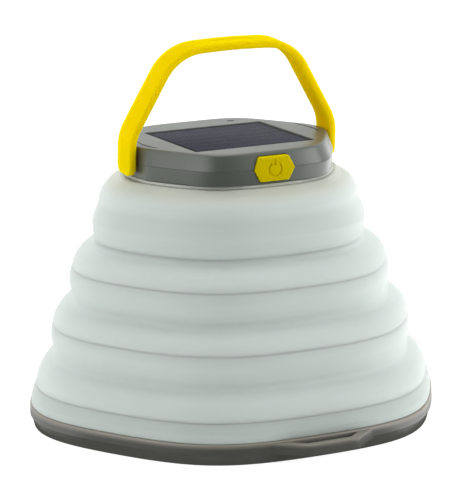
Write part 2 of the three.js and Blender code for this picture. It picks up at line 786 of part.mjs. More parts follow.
const leadFinishes = { plus: FINISHES.redLead, minus: FINISHES.blackLead };
Object.entries(leadFinishes).forEach(([pole, material], k) => {
  const x = 4 * k - 2;
  const solarLead = post(LEAD_RADIUS, boardTop + GAP, panelBottom - GAP, x, LEAD_Y, 8);
  const ledLead = post(LEAD_RADIUS, ledBoardTop + GAP, BOARD_BOTTOM - GAP, x, LED_LEAD_Y, 8);
  const batteryEnd = batteryLength / 2 + GAP + 0.1;
  const batteryLead = wire(
    [
      [batteryEnd, 2 * x, batteryBottom + 1.8],
      [batteryEnd + 1, 2 * x, batteryBottom + 2],
      [batteryEnd + 1.7, 2 * x, batteryBottom + 2.9],
      [batteryEnd + 1.8, 2 * x, BOARD_BOTTOM - GAP],
    ],
    LEAD_RADIUS,
  );
  add(`solar_lead_${pole}`, solarLead, material);
  add(`led_lead_${pole}`, ledLead, material);
  add(`battery_lead_${pole}`, batteryLead, material);
});

// ------------------------------------------------------------------ push button and port cover

/** The key with its retaining tabs behind the wall and the stem that meets the switch. */
function powerButton() {
  const key = plateAcrossY(buttonOutline(0), -BUTTON_FACE, -BUTTON_BACK);
  const tabFront = BUTTON_BACK + 0.8;
  const tabs = box(
    [-TAB_HALF_WIDTH, -tabFront, BUTTON_HEIGHT - 1.3],
    [TAB_HALF_WIDTH, -BUTTON_BACK, BUTTON_HEIGHT + 0.7],
  );
  const stem = box(
    [-1.4, -BUTTON_BACK - 0.2, BUTTON_HEIGHT + 0.1],
    [1.4, -BUTTON_BACK + 1.3, BUTTON_HEIGHT + 1.7],
  );
  return join(key, tabs, stem);
}

/** The flap that closes the charging port, with the plug that enters it. */
function portCover() {
  const half = FLAP_WIDTH / 2;
  const corner = 1.2;
  const outline = [
    [-half, FLAP_BOTTOM],
    [half, FLAP_BOTTOM],
    [half, FLAP_TOP - corner],
    [half - corner, FLAP_TOP],
    [corner - half, FLAP_TOP],
    [-half, FLAP_TOP - corner],
  ];
  const inside = CAP_APOTHEM + 0.25;
  const flap = plateAcrossY(outline, inside, inside + FLAP_THICKNESS);
  const plugHalf = USB_WIDTH / 2 - 0.9;
  const plug = box(
    [-plugHalf, PLUG_FRONT, PORT_CENTRE_Z - PLUG_HALF_HEIGHT],
    [plugHalf, inside + 0.2, PORT_CENTRE_Z + PLUG_HALF_HEIGHT],
  );
  return join(flap, plug);
}

add("power_button", powerButton(), FINISHES.yellow);
add("port_cover", portCover(), FINISHES.rubber);

// ------------------------------------------------------------------ handle

/** Points of a rounded corner between two straight runs. */
function roundedCorner(before, corner, after, radius, steps) {
  const [a, b, c] = [before, corner, after].map(([x, y]) => new THREE.Vector2(x, y));
  const toA = a.clone().sub(b).normalize();
  const toC = c.clone().sub(b).normalize();
  const half = Math.acos(toA.dot(toC)) / 2;
  const reach = radius / Math.tan(half);
  const centre = b.clone().add(toA.clone().add(toC).normalize().multiplyScalar(radius / Math.sin(half)));
  const start = b.clone().addScaledVector(toA, reach).sub(centre);
  const end = b.clone().addScaledVector(toC, reach).sub(centre);
  const sweep = start.cross(end) > 0 ? Math.PI - 2 * half : 2 * half - Math.PI;
  return Array.from({ length: steps + 1 }, (_, k) => {
    const arm = start.clone().rotateAround(new THREE.Vector2(), (sweep * k) / steps);
    return [centre.x + arm.x, centre.y + arm.y];
  });
}

/** The handle's outer line from the right pivot to the crest, as [x, height above the pivot]. */
function handleLine() {
  const foot = [HANDLE_HALF_SPAN, 0];
  const crest = [0, HANDLE_CREST];
  const lower = roundedCorner(foot, HANDLE_SHOULDER, HANDLE_TOP_CORNER, HANDLE_SHOULDER_RADIUS, 5);
  const upper = roundedCorner(HANDLE_SHOULDER, HANDLE_TOP_CORNER, crest, HANDLE_TOP_RADIUS, 6);
  return [foot, ...lower, ...upper, crest];
}

/** The same line moved inward by the handle's thickness. */
function handleInnerLine(line) {
  return line.map(([x, z], k) => {
    const before = line[Math.max(0, k - 1)];
    const after = line[Math.min(line.length - 1, k + 1)];
    const along = new THREE.Vector2(after[0] - before[0], after[1] - before[1]).normalize();
    if (k === 0) along.set(0, 1);
    if (k === line.length - 1) along.set(-1, 0);
    return [x - HANDLE_THICKNESS * along.y, z + HANDLE_THICKNESS * along.x];
  });
}

/** The bail with a round eye and an inward pivot pin at each foot, standing on its pivot axis. */
function handleUpright() {
  const outer = handleLine();
  const inner = handleInnerLine(outer);
  const mirror = (line) => line.slice(0, -1).map(([x, z]) => [-x, z]);
  const outline = [...outer, ...mirror(outer).reverse(), ...mirror(inner), ...inner.slice().reverse()];
  const bail = plateAcrossY(outline, -HANDLE_WIDTH / 2, HANDLE_WIDTH / 2);
  const eyes = [-1, 1].map((side) => {
    const inside = side * (HANDLE_HALF_SPAN - HANDLE_THICKNESS);
    return crossPin(HANDLE_WIDTH / 2, inside, side * HANDLE_HALF_SPAN, 0, 24);
  });
  const pins = [-1, 1].map((side) => {
    return crossPin(PIVOT_PIN_RADIUS, side * PIVOT_PIN_END, side * (HANDLE_HALF_SPAN - 1), 0);
  });
  return join(bail, ...eyes, ...pins);
}

const handle = handleUpright().rotateX(HANDLE_LEAN).translate(0, 0, PIVOT_Z);
add("handle", handle, FINISHES.yellow);

export default lantern;
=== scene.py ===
import json
import math

import bmesh
import bpy
from mathutils import Matrix, Vector


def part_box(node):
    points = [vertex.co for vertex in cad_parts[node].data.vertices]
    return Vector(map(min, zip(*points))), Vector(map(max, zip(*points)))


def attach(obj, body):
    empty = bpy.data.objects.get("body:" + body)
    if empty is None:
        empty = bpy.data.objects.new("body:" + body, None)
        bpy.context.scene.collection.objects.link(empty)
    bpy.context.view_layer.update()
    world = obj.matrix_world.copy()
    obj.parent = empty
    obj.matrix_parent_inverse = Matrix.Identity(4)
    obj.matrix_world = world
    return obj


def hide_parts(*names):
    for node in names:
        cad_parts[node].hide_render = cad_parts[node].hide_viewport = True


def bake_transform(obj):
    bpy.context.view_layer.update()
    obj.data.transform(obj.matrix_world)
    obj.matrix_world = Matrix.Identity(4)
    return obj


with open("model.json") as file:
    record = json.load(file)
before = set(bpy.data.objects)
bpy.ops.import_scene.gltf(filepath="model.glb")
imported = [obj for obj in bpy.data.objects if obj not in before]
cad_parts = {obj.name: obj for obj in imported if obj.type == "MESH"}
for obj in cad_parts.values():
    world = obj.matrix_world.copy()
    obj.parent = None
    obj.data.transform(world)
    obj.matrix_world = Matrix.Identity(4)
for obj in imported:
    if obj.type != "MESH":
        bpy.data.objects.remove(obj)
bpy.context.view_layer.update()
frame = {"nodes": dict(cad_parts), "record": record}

# The looks of a collapsible solar camping lantern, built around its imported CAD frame.
#
# Sizes below are in millimetres and become metres in add_piece. The origin is on the lantern's axis
# at the surface that it stands on, +Z is up, -Y is the front (button and hang loop), and +X runs
# along the handle's pivot axis.

UNIT = 0.001

# ---- driving dimensions

# Every outline is a hexagon with rounded corners: an apothem (half its width across flats) and a
# roundness, which is higher for a sharper corner. Two corners lie on the X axis.
BASE_ROUNDNESS = 6.8
SKIN_ROUNDNESS = 6.2
CAP_ROUNDNESS = 11
OUTLINE_STEPS = 288

BASE_APOTHEM = 55.0
BASE_BOTTOM_APOTHEM = 54.0
BASE_INSIDE = 53.7
BASE_HEIGHT = 5.75
BASE_CHAMFER_TOP = 2.7
FLANGE_APOTHEM = 47.5
FLANGE_THICKNESS = 1.5
SCREW_CIRCLE = 50.4
SCREW_HEAD_RADIUS = 1.8
SCREW_HEAD_HEIGHT = 1.0
SCREW_RECESS = 0.55
SCREW_CORE = 0.72
SCREW_THREAD = 0.95
SCREW_PITCH = 0.45

LOOP_ROOT_HALF = 16
LOOP_ARM_BEND = (11.6, 0.7)  # where an arm bends: from the middle, and in front of the ring
LOOP_BAR_HALF = 7
LOOP_BAR_FRONT = 60.2
LOOP_BAR_BACK = 57.6
LOOP_SLOT_FRONT_HALF = 6.4
LOOP_SLOT_BACK_HALF = 10
LOOP_BOTTOM = 2.4
LOOP_TOP = 5.2

# Silicone diffuser: (apothem, height) of the outer surface
SKIN = 1.2
LIP = 0.015  # how far a fold's lower edge stands proud, and its crown stands back under the next
LIP_FADE = 2.0  # height over which a lip fades away
FOOT = {
    "hem": (53.55, 3.3),
    "wall": (53.55, 5.8),
    "ledge": (54.6, 5.8),
    "belly": (54.4, 7.7),
    "crown": (53.45, 10.8),
}
TIERS = [
    {"groove": (47.6, 18.2), "underside": (48.6, 21.8), "belly": (49.1, 24.2), "crown": (48.45, 27.0)},
    {"groove": (42.1, 33.2), "underside": (43.4, 37.2), "belly": (43.7, 39.6), "crown": (42.8, 42.3)},
    {"groove": (36.1, 48.4), "underside": (36.8, 51.3), "belly": (37.1, 54.5), "crown": (36.5, 56.0)},
]
NECK_BEND = (35.3, 59.0)
NECK = (30.9, 65.3)
NECK_TOP = (29.1, 66.7)
WEB_SHOULDER = (0.95, 0.56)  # shares of a web's width and height at which its curve bends
NECK_SHOULDER = (1.0, 0.68)
WEB_STEPS = 26
WEB_TAIL = 10  # how many of a web's points give way to the rounding of its groove
NECK_LEAD = 8  # and of the neck's web to its bend
NECK_TAIL = 4  # and to the slope above it
BAND_SEAM = 1.2  # above the highest groove: where the neck piece takes over
GROOVE_LIGHT_HALF = 1.1  # reach of the painted light that brightens each groove's shade, on each side of it
PAINTED_SHADE_HEIGHT = 25  # below it the silicone has painted shade, getting darker down to the grey base
FOOT_PAINTED_SHADE = -1.5  # painted shade that makes the foot the darkest silicone
YELLOWER_REACH = 2.5  # how far below the neck's top the silicone is tinted yellower

COLLAR_FLAT_X = 28.6
COLLAR_CORNER = 40  # sharpness of the vertical edges beside the flats
COLLAR_INSIDE = 25.6
COLLAR_BEAD = 28.4
COLLAR_FOOT = 65.6
COLLAR_TOP = 67.5

CAP_BOTTOM = 67.6
CAP_PARTING = 71.6
CAP_TOP = 75.9
CAP_BOTTOM_APOTHEM = 28.0
CAP_APOTHEM = 28.3
CAP_TOP_APOTHEM = 26.4
CAP_WALL = 1.6
CAP_FLAT_X = 27.9
CAP_CORNER = 60  # sharpness of the vertical edges beside the flats
SEAM = 0.02  # half the gap between the cap's two shells
CAP_FLOOR = 1.2
CAP_ROOF = 1.4
TUB_RADIUS = 24
TUB_INSIDE = 22.8
TUB_BOTTOM = 61.2
TUB_MOUTH = 19.7
ARC_RADII = (24.9, 24.3)
ARC_REACH = math.radians(17)
ARC_DEPTH = 0.15

PANEL_HALF_WIDTH = 17.3
PANEL_HALF_DEPTH = 16.5
PANEL_CENTRE_Y = -1
PANEL_TOP = CAP_TOP - 0.2
PANEL_BOTTOM = PANEL_TOP - 1.6
PANEL_GAP = 0.25
TRAY_MARGIN = 1.4
INDICATOR = (10.7, 20.3)
INDICATOR_RADIUS = 1.1

BUTTON_HALF_WIDTH = 5.85
BUTTON_TOP_HALF = 4.1
BUTTON_HALF_HEIGHT = 3.25
BUTTON_HEIGHT = 71.5
BUTTON_FACE = 28.9
BUTTON_BACK = 25.0
BUTTON_EDGE = 0.45
BUTTON_GAP = 0.22
SYMBOL_RADIUS = 1.8
SYMBOL_OPENING = math.radians(33)  # half the gap at the top of the ring
SYMBOL_BAR = (0.95, 2.55)  # its ends, above the middle of the button
SYMBOL_DEPTH = 0.3
SYMBOL_HALF_WIDTH = 0.36

FLAP_HALF_WIDTH = 5.8
FLAP_THICKNESS = 0.34
FLAP_BACKSET = 0.36  # inside the CAD cover's face, so that the folded handle passes over it
FLAP_SHORTER = 0.5
FLAP_GRIP_PITCH = 0.7
FLAP_PLUG = ((-2.9, 72.15), (2.9, 73.05))
PORT_OPENING = ((-4.1, 71.0), (4.1, 74.2))

PIVOT_Z = 71.2
HANDLE_WIDTH = 8.2
HANDLE_THICKNESS = 2.2
HANDLE_HALF_SPAN = 30.9
HANDLE_FOOT = 3.0  # below the pivot
HANDLE_SHOULDER = (30.9, 7.6)
HANDLE_TOP_CORNER = (17.75, 30.7)
HANDLE_CREST = 31.6
HANDLE_SHOULDER_RADIUS = 13
HANDLE_TOP_RADIUS = 14.3
HANDLE_LEAN = math.radians(4.5)
HANDLE_FOOT_CORNER = 2.7
HANDLE_EDGE = 0.6
PIN_RADIUS = 1.3
PIN_CLEARANCE = 0.2
PIN_END = 25.8
RECESS = (5.6, 1.2)  # half length and half width of the floor of the recess on the crest
RECESS_DEPTH = 0.45
RECESS_FLARE = 0.7

# ---- outlines and paths


def hexagon_radius(angle, roundness):
    """Radius of the rounded hexagon of apothem 1 at an angle from the X axis."""
    facings = (math.cos(angle - math.radians(30 + 60 * side)) for side in range(6))
    return sum(max(0, facing) ** roundness for facing in facings) ** (-1 / roundness)


def hexagon(roundness):
    """A function from apothem, angle and height to radius, for one roundness at every height."""
    return lambda apothem, angle, height: apothem * hexagon_radius(angle, roundness)


def foot_outline(apothem, angle, height):
    """The diffuser's outline, which is as sharp as the base ring's where it enters the ring."""
    low, high = FOOT["belly"][1], FOOT["crown"][1]
    share = min(1, max(0, (height - low) / (high - low)))
    return apothem * hexagon_radius(angle, BASE_ROUNDNESS + (SKIN_ROUNDNESS - BASE_ROUNDNESS) * share)


def with_flats(full, angle, flat_x, sharpness):
    """A radius of an outline whose two corners on the X axis are cut flat."""
    flat = flat_x / max(abs(math.cos(angle)), 1e-3)
    return (full**-sharpness + flat**-sharpness) ** (-1 / sharpness)


def cap_outline(inset=0):
    """The cap's outline: a rounded hexagon with two flats."""

    def radius(apothem, angle, height):
        full = apothem * hexagon_radius(angle, CAP_ROUNDNESS)
        return with_flats(full, angle, CAP_FLAT_X - inset, CAP_CORNER)

    return radius


def collar_outline(apothem, angle, height):
    """The collar's outline: the diffuser's hexagon, with flats inside the handle's feet."""
    return with_flats(apothem * hexagon_radius(angle, SKIN_ROUNDNESS), angle, COLLAR_FLAT_X, COLLAR_CORNER)


def circle(radius, angle, height):
    """The plain round outline."""
    return radius


def polar(radius, angle):
    """A point in plan, by its angle from the X axis."""
    return (radius * math.cos(angle), radius * math.sin(angle))


def curve(a, b, c, steps):
    """Points of a quadratic curve from a to c, drawn towards b."""
    points = []
    for k in range(steps + 1):
        t = k / steps
        points.append(tuple((1 - t) ** 2 * p + 2 * t * (1 - t) * q + t * t * r for p, q, r in zip(a, b, c)))
    return points


def filleted(points, closed=True, step=math.radians(12)):
    """A path through (u, v, corner radius) points with its corners rounded by arcs."""
    corners = [(Vector(p[:2]), p[2] if len(p) > 2 else 0) for p in points]
    path = []
    for k, (corner, radius) in enumerate(corners):
        at_end = not closed and k in (0, len(corners) - 1)
        if at_end or radius == 0:
            path.append(tuple(corner))
            continue
        back = corners[k - 1][0] - corner
        ahead = corners[(k + 1) % len(corners)][0] - corner
        turn = math.pi - back.angle(ahead)
        if turn < 1e-3:
            path.append(tuple(corner))
            continue
        reach = min(radius * math.tan(turn / 2), 0.49 * back.length, 0.49 * ahead.length)
        radius = reach / math.tan(turn / 2)
        start = corner + back.normalized() * reach
        end = corner + ahead.normalized() * reach
        middle = corner + (back.normalized() + ahead.normalized()).normalized() * math.hypot(reach, radius)
        count = max(2, math.ceil(turn / step))
        first, last = start - middle, end - middle
        for i in range(count + 1):
            share = i / count
            arm = first * math.sin((1 - share) * turn) + last * math.sin(share * turn)
            path.append(tuple(middle + arm / math.sin(turn)))
    return path


def moved_in(path, distance):
    """A path moved to its left by a distance."""
    moved = []
    for k, point in enumerate(path):
        before, after = path[max(0, k - 1)], path[min(len(path) - 1, k + 1)]
        along = (Vector(after) - Vector(before)).normalized()
        moved.append((point[0] - distance * along.y, point[1] + distance * along.x))
    return moved


# ---- meshes


def new_object(name, data):
    """An object in the scene's own collection."""
    made = bpy.data.objects.new(name, data)
    bpy.context.scene.collection.objects.link(made)
    return made


def add_piece(name, verts, faces):
    """A mesh object from points in millimetres, with its faces turned outward."""
    mesh = bpy.data.meshes.new(name)
    mesh.from_pydata([Vector(v) * UNIT for v in verts], [], faces)
    form = bmesh.new()
    form.from_mesh(mesh)
    bmesh.ops.remove_doubles(form, verts=form.verts, dist=1e-7)
    bmesh.ops.recalc_face_normals(form, faces=form.faces)
    form.to_mesh(mesh)
    form.free()
    return new_object(name, mesh)


def tube_faces(rings, sides, wrap):
    """Quads between successive rings of points; wrap joins the last ring to the first."""
    faces = []
    for ring in range(rings if wrap else rings - 1):
        low, high = ring * sides, ((ring + 1) % rings) * sides
        for k in range(sides):
            n = (k + 1) % sides
            faces.append((low + k, low + n, high + n, high + k))
    return faces


def turned(name, profile, outline, steps=OUTLINE_STEPS, solid=False):
    """A closed (apothem, height) profile carried round the Z axis, on the given outline.

    A solid's profile is open and runs from its bottom edge to its top edge; both ends are closed
    by flat faces."""
    verts = []
    for apothem, height in profile:
        for k in range(steps):
            angle = 2 * math.pi * k / steps
            verts.append((*polar(outline(apothem, angle, height), angle), height))
    faces = tube_faces(len(profile), steps, wrap=not solid)
    if solid:
        top = (len(profile) - 1) * steps
        faces += [tuple(reversed(range(steps))), tuple(range(top, top + steps))]
    return add_piece(name, verts, faces)


def prism(name, outline, low, high, place):
    """A solid from a flat outline, between two depths; place maps (u, v, depth) to a point."""
    count = len(outline)
    verts = [place(u, v, depth) for depth in (low, high) for u, v in outline]
    faces = tube_faces(2, count, wrap=False)
    faces += [tuple(reversed(range(count))), tuple(range(count, 2 * count))]
    return add_piece(name, verts, faces)


def stacked(name, rings):
    """A solid through rings of points, closed by a flat face at each end."""
    count = len(rings[0])
    verts = [point for ring in rings for point in ring]
    faces = tube_faces(len(rings), count, wrap=False)
    top = len(verts) - count
    faces += [tuple(reversed(range(count))), tuple(range(top, top + count))]
    return add_piece(name, verts, faces)


def upright(u, v, depth):
    """Outline in plan, depth upward."""
    return (u, v, depth)


def facing_front(u, v, depth):
    """Outline seen from the front, depth along Y."""
    return (u, depth, v)


def facing_side(u, v, depth):
    """Outline seen from the side, depth along X."""
    return (depth, u, v)


def ring_of(radius, count=32, centre=(0, 0)):
    """A circle as a flat outline."""
    angles = (2 * math.pi * k / count for k in range(count))
    return [(centre[0] + radius * math.cos(a), centre[1] + radius * math.sin(a)) for a in angles]


def rectangle(low, high, corner=0.0):
    """A rectangle with rounded corners as a flat outline."""
    (x0, y0), (x1, y1) = low, high
    return filleted([(x0, y0, corner), (x1, y0, corner), (x1, y1, corner), (x0, y1, corner)])


def apply_modifiers(piece):
    """Bakes a piece's modifiers into its mesh."""
    graph = bpy.context.evaluated_depsgraph_get()
    graph.update()
    baked = bpy.data.meshes.new_from_object(piece.evaluated_get(graph))
    piece.modifiers.clear()
    piece.data = baked
    return piece


def combine(piece, others, operation):
    """Unites a piece with others, or cuts them from it, and removes them."""
    for other in others:
        change = piece.modifiers.new("shape", "BOOLEAN")
        change.operation = operation
        change.solver = "EXACT"
        change.object = other
    apply_modifiers(piece)
    for other in others:
        bpy.data.objects.remove(other)
    return piece


def unite(piece, *others):
    return combine(piece, others, "UNION")


def cut(piece, *others):
    return combine(piece, others, "DIFFERENCE")


def soften(piece, width, segments=3, angle=40):
    """Rounds a piece's sharp edges."""
    bevel = piece.modifiers.new("edges", "BEVEL")
    bevel.width = width * UNIT
    bevel.segments = segments
    bevel.limit_method = "ANGLE"
    bevel.angle_limit = math.radians(angle)
    bevel.harden_normals = False
    return apply_modifiers(piece)


def finish_piece(piece, look, body=None, replaces=(), sharp=35):
    """Smooth shading, a material and a place in the frame. A slot has its look's name by default."""
    for polygon in piece.data.polygons:
        polygon.use_smooth = True
    piece.data.set_sharp_from_angle(angle=math.radians(sharp))
    piece.data.materials.clear()
    piece.data.materials.append(LOOKS[look])
    if body:
        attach(piece, body)
    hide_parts(*replaces)


# ---- materials


class Shader:
    """A node tree that is built from the texture coordinate towards one surface shader."""

    def __init__(self, name):
        self.material = bpy.data.materials.new(name)
        self.material.use_nodes = True
        self.nodes = self.material.node_tree.nodes
        self.links = self.material.node_tree.links
        self.surface = self.nodes["Principled BSDF"]
        self.place = self.add("TexCoord").outputs["Object"]

    def add(self, kind, settings=None, **inputs):
        node = self.nodes.new("ShaderNode" + kind)
        for key, value in (settings or {}).items():
            setattr(node, key, value)
        for key, value in inputs.items():
            self.feed(node.inputs[key.replace("_", " ")], value)
        return node

    def feed(self, socket, value):
        if isinstance(value, bpy.types.NodeSocket):
            self.links.new(value, socket)
        else:
            socket.default_value = value

    def set(self, **inputs):
        for key, value in inputs.items():
            self.feed(self.surface.inputs[key.replace("_", " ")], value)

    def noise(self, scale, detail=3.0, roughness=0.55, stretch=(1, 1, 1)):
        """Noise whose grain is scale per metre along each axis, times the stretch."""
        mapped = self.add("Mapping", Vector=self.place, Scale=stretch).outputs[0]
        node = self.add("TexNoise", Vector=mapped, Scale=scale, Detail=detail, Roughness=roughness)
        return node.outputs[0]

    def ramp(self, factor, low, high):
        """Maps 0..1 onto low..high."""
        node = self.add("MapRange", Value=factor, To_Min=low, To_Max=high)
        return node.outputs[0]

    def math(self, operation, first, second=0.0):
        node = self.add("Math", {"operation": operation})
        self.feed(node.inputs[0], first)
        self.feed(node.inputs[1], second)
        return node.outputs[0]

    def mix(self, factor, first, second):
        node = self.add("Mix", {"data_type": "RGBA"})
        self.feed(node.inputs["Factor"], factor)
        self.feed(node.inputs[6], first)
        self.feed(node.inputs[7], second)
        return node.outputs[2]

    def bump(self, height, distance, below=None):
        """A bump of that many millimetres, on top of another one."""
        node = self.add("Bump", Height=height, Distance=distance * UNIT, Strength=1.0)
        if below is not None:
            self.feed(node.inputs["Normal"], below)
        return node.outputs[0]


def tone(color, share):
    """A colour made lighter or darker by a share."""
    return (*(min(1.0, channel * (1 + share)) for channel in color[:3]), 1.0)


def moulded(name, color, roughness=0.5, grain=0.012, variation=0.05, specular=0.5, depth=0.0, rim=None):
    """Moulded plastic with fine spark-eroded grain, faint flow marks and uneven gloss.

    A depth in millimetres makes it slightly translucent. A rim is a painted highlight: the lighter colour
    laid on the top of the part, and the two heights between which it comes in."""
    shader = Shader(name)
    fine = shader.noise(5200, detail=2.0)
    broad = shader.noise(60, detail=4.0, stretch=(1, 1, 3))
    smudges = shader.noise(180, detail=5.0, roughness=0.6)
    tint = shader.mix(broad, tone(color, -variation), tone(color, variation))
    # Painted highlight towards the top of the part.
    if rim:
        top_light_color, low, high = rim
        rise = shader.add("SeparateXYZ", Vector=shader.place).outputs[2]
        lit_share = shader.add("MapRange", Value=rise, From_Min=low * UNIT, From_Max=high * UNIT)
        tint = shader.mix(lit_share.outputs[0], tint, (*top_light_color, 1.0))
    shader.set(
        Base_Color=tint,
        Roughness=shader.ramp(smudges, roughness - 0.05, roughness + 0.07),
        Specular_IOR_Level=specular,
        Normal=shader.bump(fine, grain),
    )
    if depth:
        shader.set(
            Subsurface_Weight=0.8,
            Subsurface_Radius=(1.0, 0.8, 0.1),
            Subsurface_Scale=depth * UNIT,
            Specular_Tint=tone(color, 0.2),
        )
    return shader.material


def silicone(name, color, yellower_color, depth=4.5):
    """Frosted translucent silicone with faint drawn marks round it, as the mould left them.

    By the mesh's own attributes its colour gets painted light and shade from the thin attribute, and a
    yellower tint from the yellower_share attribute."""
    shader = Shader(name)
    rings = shader.noise(1, detail=4.0, roughness=0.65, stretch=(26, 26, 1500))
    cloud = shader.noise(45, detail=3.0)
    frost = shader.noise(4200, detail=2.0)
    tint = shader.mix(cloud, tone(color, -0.035), tone(color, 0.035))
    streaked = shader.mix(shader.ramp(rings, 0.0, 0.6), tint, tone(color, 0.07))
    # Painted light and shade: the thin attribute scales the colour lighter in webs and grooves and darker low
    # down and in the foot.
    thin = shader.add("Attribute", {"attribute_name": "thin"}).outputs["Fac"]
    painted_brightness = shader.math("ADD", shader.math("MULTIPLY", thin, 0.07), 0.93)
    lit = shader.add("VectorMath", {"operation": "SCALE"}, Scale=painted_brightness)
    shader.feed(lit.inputs[0], streaked)
    yellower_share = shader.add("Attribute", {"attribute_name": "yellower_share"}).outputs["Fac"]
    drawn = shader.bump(rings, 0.03)
    shader.set(
        Base_Color=shader.mix(yellower_share, lit.outputs[0], (*yellower_color, 1.0)),
        Roughness=shader.ramp(cloud, 0.5, 0.62),
        IOR=1.41,
        Specular_IOR_Level=0.4,
        Subsurface_Weight=0.65,
        Subsurface_Radius=(1.0, 1.05, 1.0),
        Subsurface_Scale=depth * UNIT,
        Sheen_Weight=0.08,
        Normal=shader.bump(frost, 0.008, below=drawn),
    )
    return shader.material


def solar_cell(name):
    """A dark cell under a clear laminate: fine silver fingers, two busbars and a dark margin."""
    shader = Shader(name)
    axes = shader.add("SeparateXYZ", Vector=shader.place)
    x, y = axes.outputs[0], axes.outputs[1]
    middle = PANEL_CENTRE_Y * UNIT

    def lines(axis, pitch, width, offset=0.0):
        """1 on thin lines across an axis, else 0."""
        turns = shader.math("DIVIDE", shader.math("ADD", axis, offset * UNIT + 1.0), pitch * UNIT)
        wave = shader.math("PINGPONG", shader.math("FRACT", turns), 0.5)
        return shader.math("LESS_THAN", wave, 0.5 * width / pitch)

    def inside(axis, centre, half):
        """1 within a distance of a centre line, else 0."""
        away = shader.math("ABSOLUTE", shader.math("SUBTRACT", axis, centre))
        return shader.math("LESS_THAN", away, half * UNIT)

    margin = 1.1
    cell = shader.math(
        "MULTIPLY",
        inside(x, 0.0, PANEL_HALF_WIDTH - margin),
        inside(y, middle, PANEL_HALF_DEPTH - margin),
    )
    fingers = lines(x, pitch=1.1, width=0.13)
    strips = lines(y, pitch=5.15, width=0.16, offset=2.2)
    metal = shader.math("MULTIPLY", shader.math("MAXIMUM", fingers, strips), cell)
    crystal = shader.noise(420, detail=3.0)
    silicon = shader.mix(crystal, (0.020, 0.021, 0.041, 1), (0.030, 0.031, 0.057, 1))
    backed = shader.mix(cell, (0.016, 0.016, 0.018, 1), silicon)
    shader.set(
        Base_Color=shader.mix(shader.math("MULTIPLY", metal, 0.3), backed, (0.30, 0.30, 0.33, 1)),
        Roughness=shader.ramp(shader.noise(300, detail=4.0), 0.34, 0.46),
        Specular_IOR_Level=0.01,
        Normal=shader.bump(shader.noise(900, detail=2.0), 0.01),
    )
    return shader.material


def metal(name, color, roughness, scratch=(1, 1, 1)):
    """Plated or rolled metal with fine drawn scratches."""
    shader = Shader(name)
    marks = shader.noise(900, detail=4.0, stretch=scratch)
    shader.set(
        Base_Color=shader.mix(marks, tone(color, -0.12), tone(color, 0.08)),
        Metallic=1.0,
        Roughness=shader.ramp(marks, roughness - 0.08, roughness + 0.12),
        Normal=shader.bump(marks, 0.006),
    )
    return shader.material


def clear(name, color, roughness):
    """Clear plastic with faint ripples."""
    shader = Shader(name)
    shader.set(
        Base_Color=(*color, 1.0),
        Roughness=shader.ramp(shader.noise(500), roughness, roughness + 0.1),
        Transmission_Weight=0.85,
        IOR=1.49,
        Normal=shader.bump(shader.noise(250, detail=2.0), 0.01),
    )
    return shader.material


def circuit(name, color):
    """A solder-masked board with the faint relief of its tracks."""
    shader = Shader(name)
    cells = shader.add("TexVoronoi", {"distance": "MANHATTAN"}, Vector=shader.place, Scale=420.0)
    tracks = shader.math("GREATER_THAN", cells.outputs["Distance"], 0.42)
    shader.set(
        Base_Color=shader.mix(tracks, tone(color, 0.0), tone(color, 0.5)),
        Roughness=shader.ramp(shader.noise(350), 0.3, 0.42),
        Normal=shader.bump(tracks, 0.02),
    )
    return shader.material


GREY = (0.080, 0.094, 0.077)
BASE_GREY = (0.068, 0.070, 0.058)
# Painted highlight: a lighter band along the base ring's top edge.
BASE_TOP_LIGHT = ((0.26, 0.24, 0.19), BASE_HEIGHT - 1.4, BASE_HEIGHT)
YELLOW = (0.75, 0.54, 0.0006)
BUTTON_YELLOW = (0.57, 0.46, 0.0006)
SILICONE = (0.595, 0.672, 0.632)
YELLOWER_SILICONE = (0.60, 0.645, 0.55)
YELLOW_FINISH = {"roughness": 0.42, "variation": 0.02, "grain": 0.008, "specular": 0.0}

LOOKS = {
    "housing": moulded("housing", GREY, roughness=0.32, specular=0.72, grain=0.006),
    "base_housing": moulded("base_housing", BASE_GREY, roughness=0.42, specular=0.9, rim=BASE_TOP_LIGHT),
    "base_plate": moulded("base_plate", (0.26, 0.27, 0.25), roughness=0.5),
    "reflector": moulded("reflector", (0.82, 0.82, 0.79), roughness=0.3, grain=0.004),
    "clamp": moulded("clamp", (0.60, 0.61, 0.58), roughness=0.5),
    "silicone": silicone("silicone", SILICONE, YELLOWER_SILICONE),
    "steel": metal("steel", (0.62, 0.62, 0.63), 0.3, scratch=(1, 1, 4)),
    "lamp": moulded("lamp", (0.85, 0.72, 0.25), roughness=0.25, grain=0.003),
    "red_lead": moulded("red_lead", (0.45, 0.02, 0.02), roughness=0.4),
    "black_lead": moulded("black_lead", (0.015, 0.015, 0.016), roughness=0.4),
    "solar_cell": solar_cell("solar_cell"),
    "adhesive": moulded("adhesive", (0.02, 0.02, 0.02), roughness=0.8, grain=0.03),
    "clear_plastic": clear("clear_plastic", (0.9, 0.93, 0.93), 0.06),
    "smoked_plastic": clear("smoked_plastic", (0.04, 0.045, 0.05), 0.1),
    "foam": moulded("foam", (0.03, 0.03, 0.034), roughness=0.9, grain=0.2),
    "battery": metal("battery", (0.55, 0.56, 0.58), 0.38, scratch=(0.2, 1, 1)),
    "circuit_board": circuit("circuit_board", (0.015, 0.13, 0.045)),
    "switch_body": moulded("switch_body", (0.015, 0.015, 0.017), roughness=0.45),
    "yellow_plastic": moulded("yellow_plastic", YELLOW, depth=6.0, **YELLOW_FINISH),
    "button_plastic": moulded("button_plastic", BUTTON_YELLOW, depth=0.8, **YELLOW_FINISH),
    "port_rubber": moulded("port_rubber", (0.11, 0.115, 0.10), roughness=0.75, grain=0.02, specular=0.25),
}

# ---- base


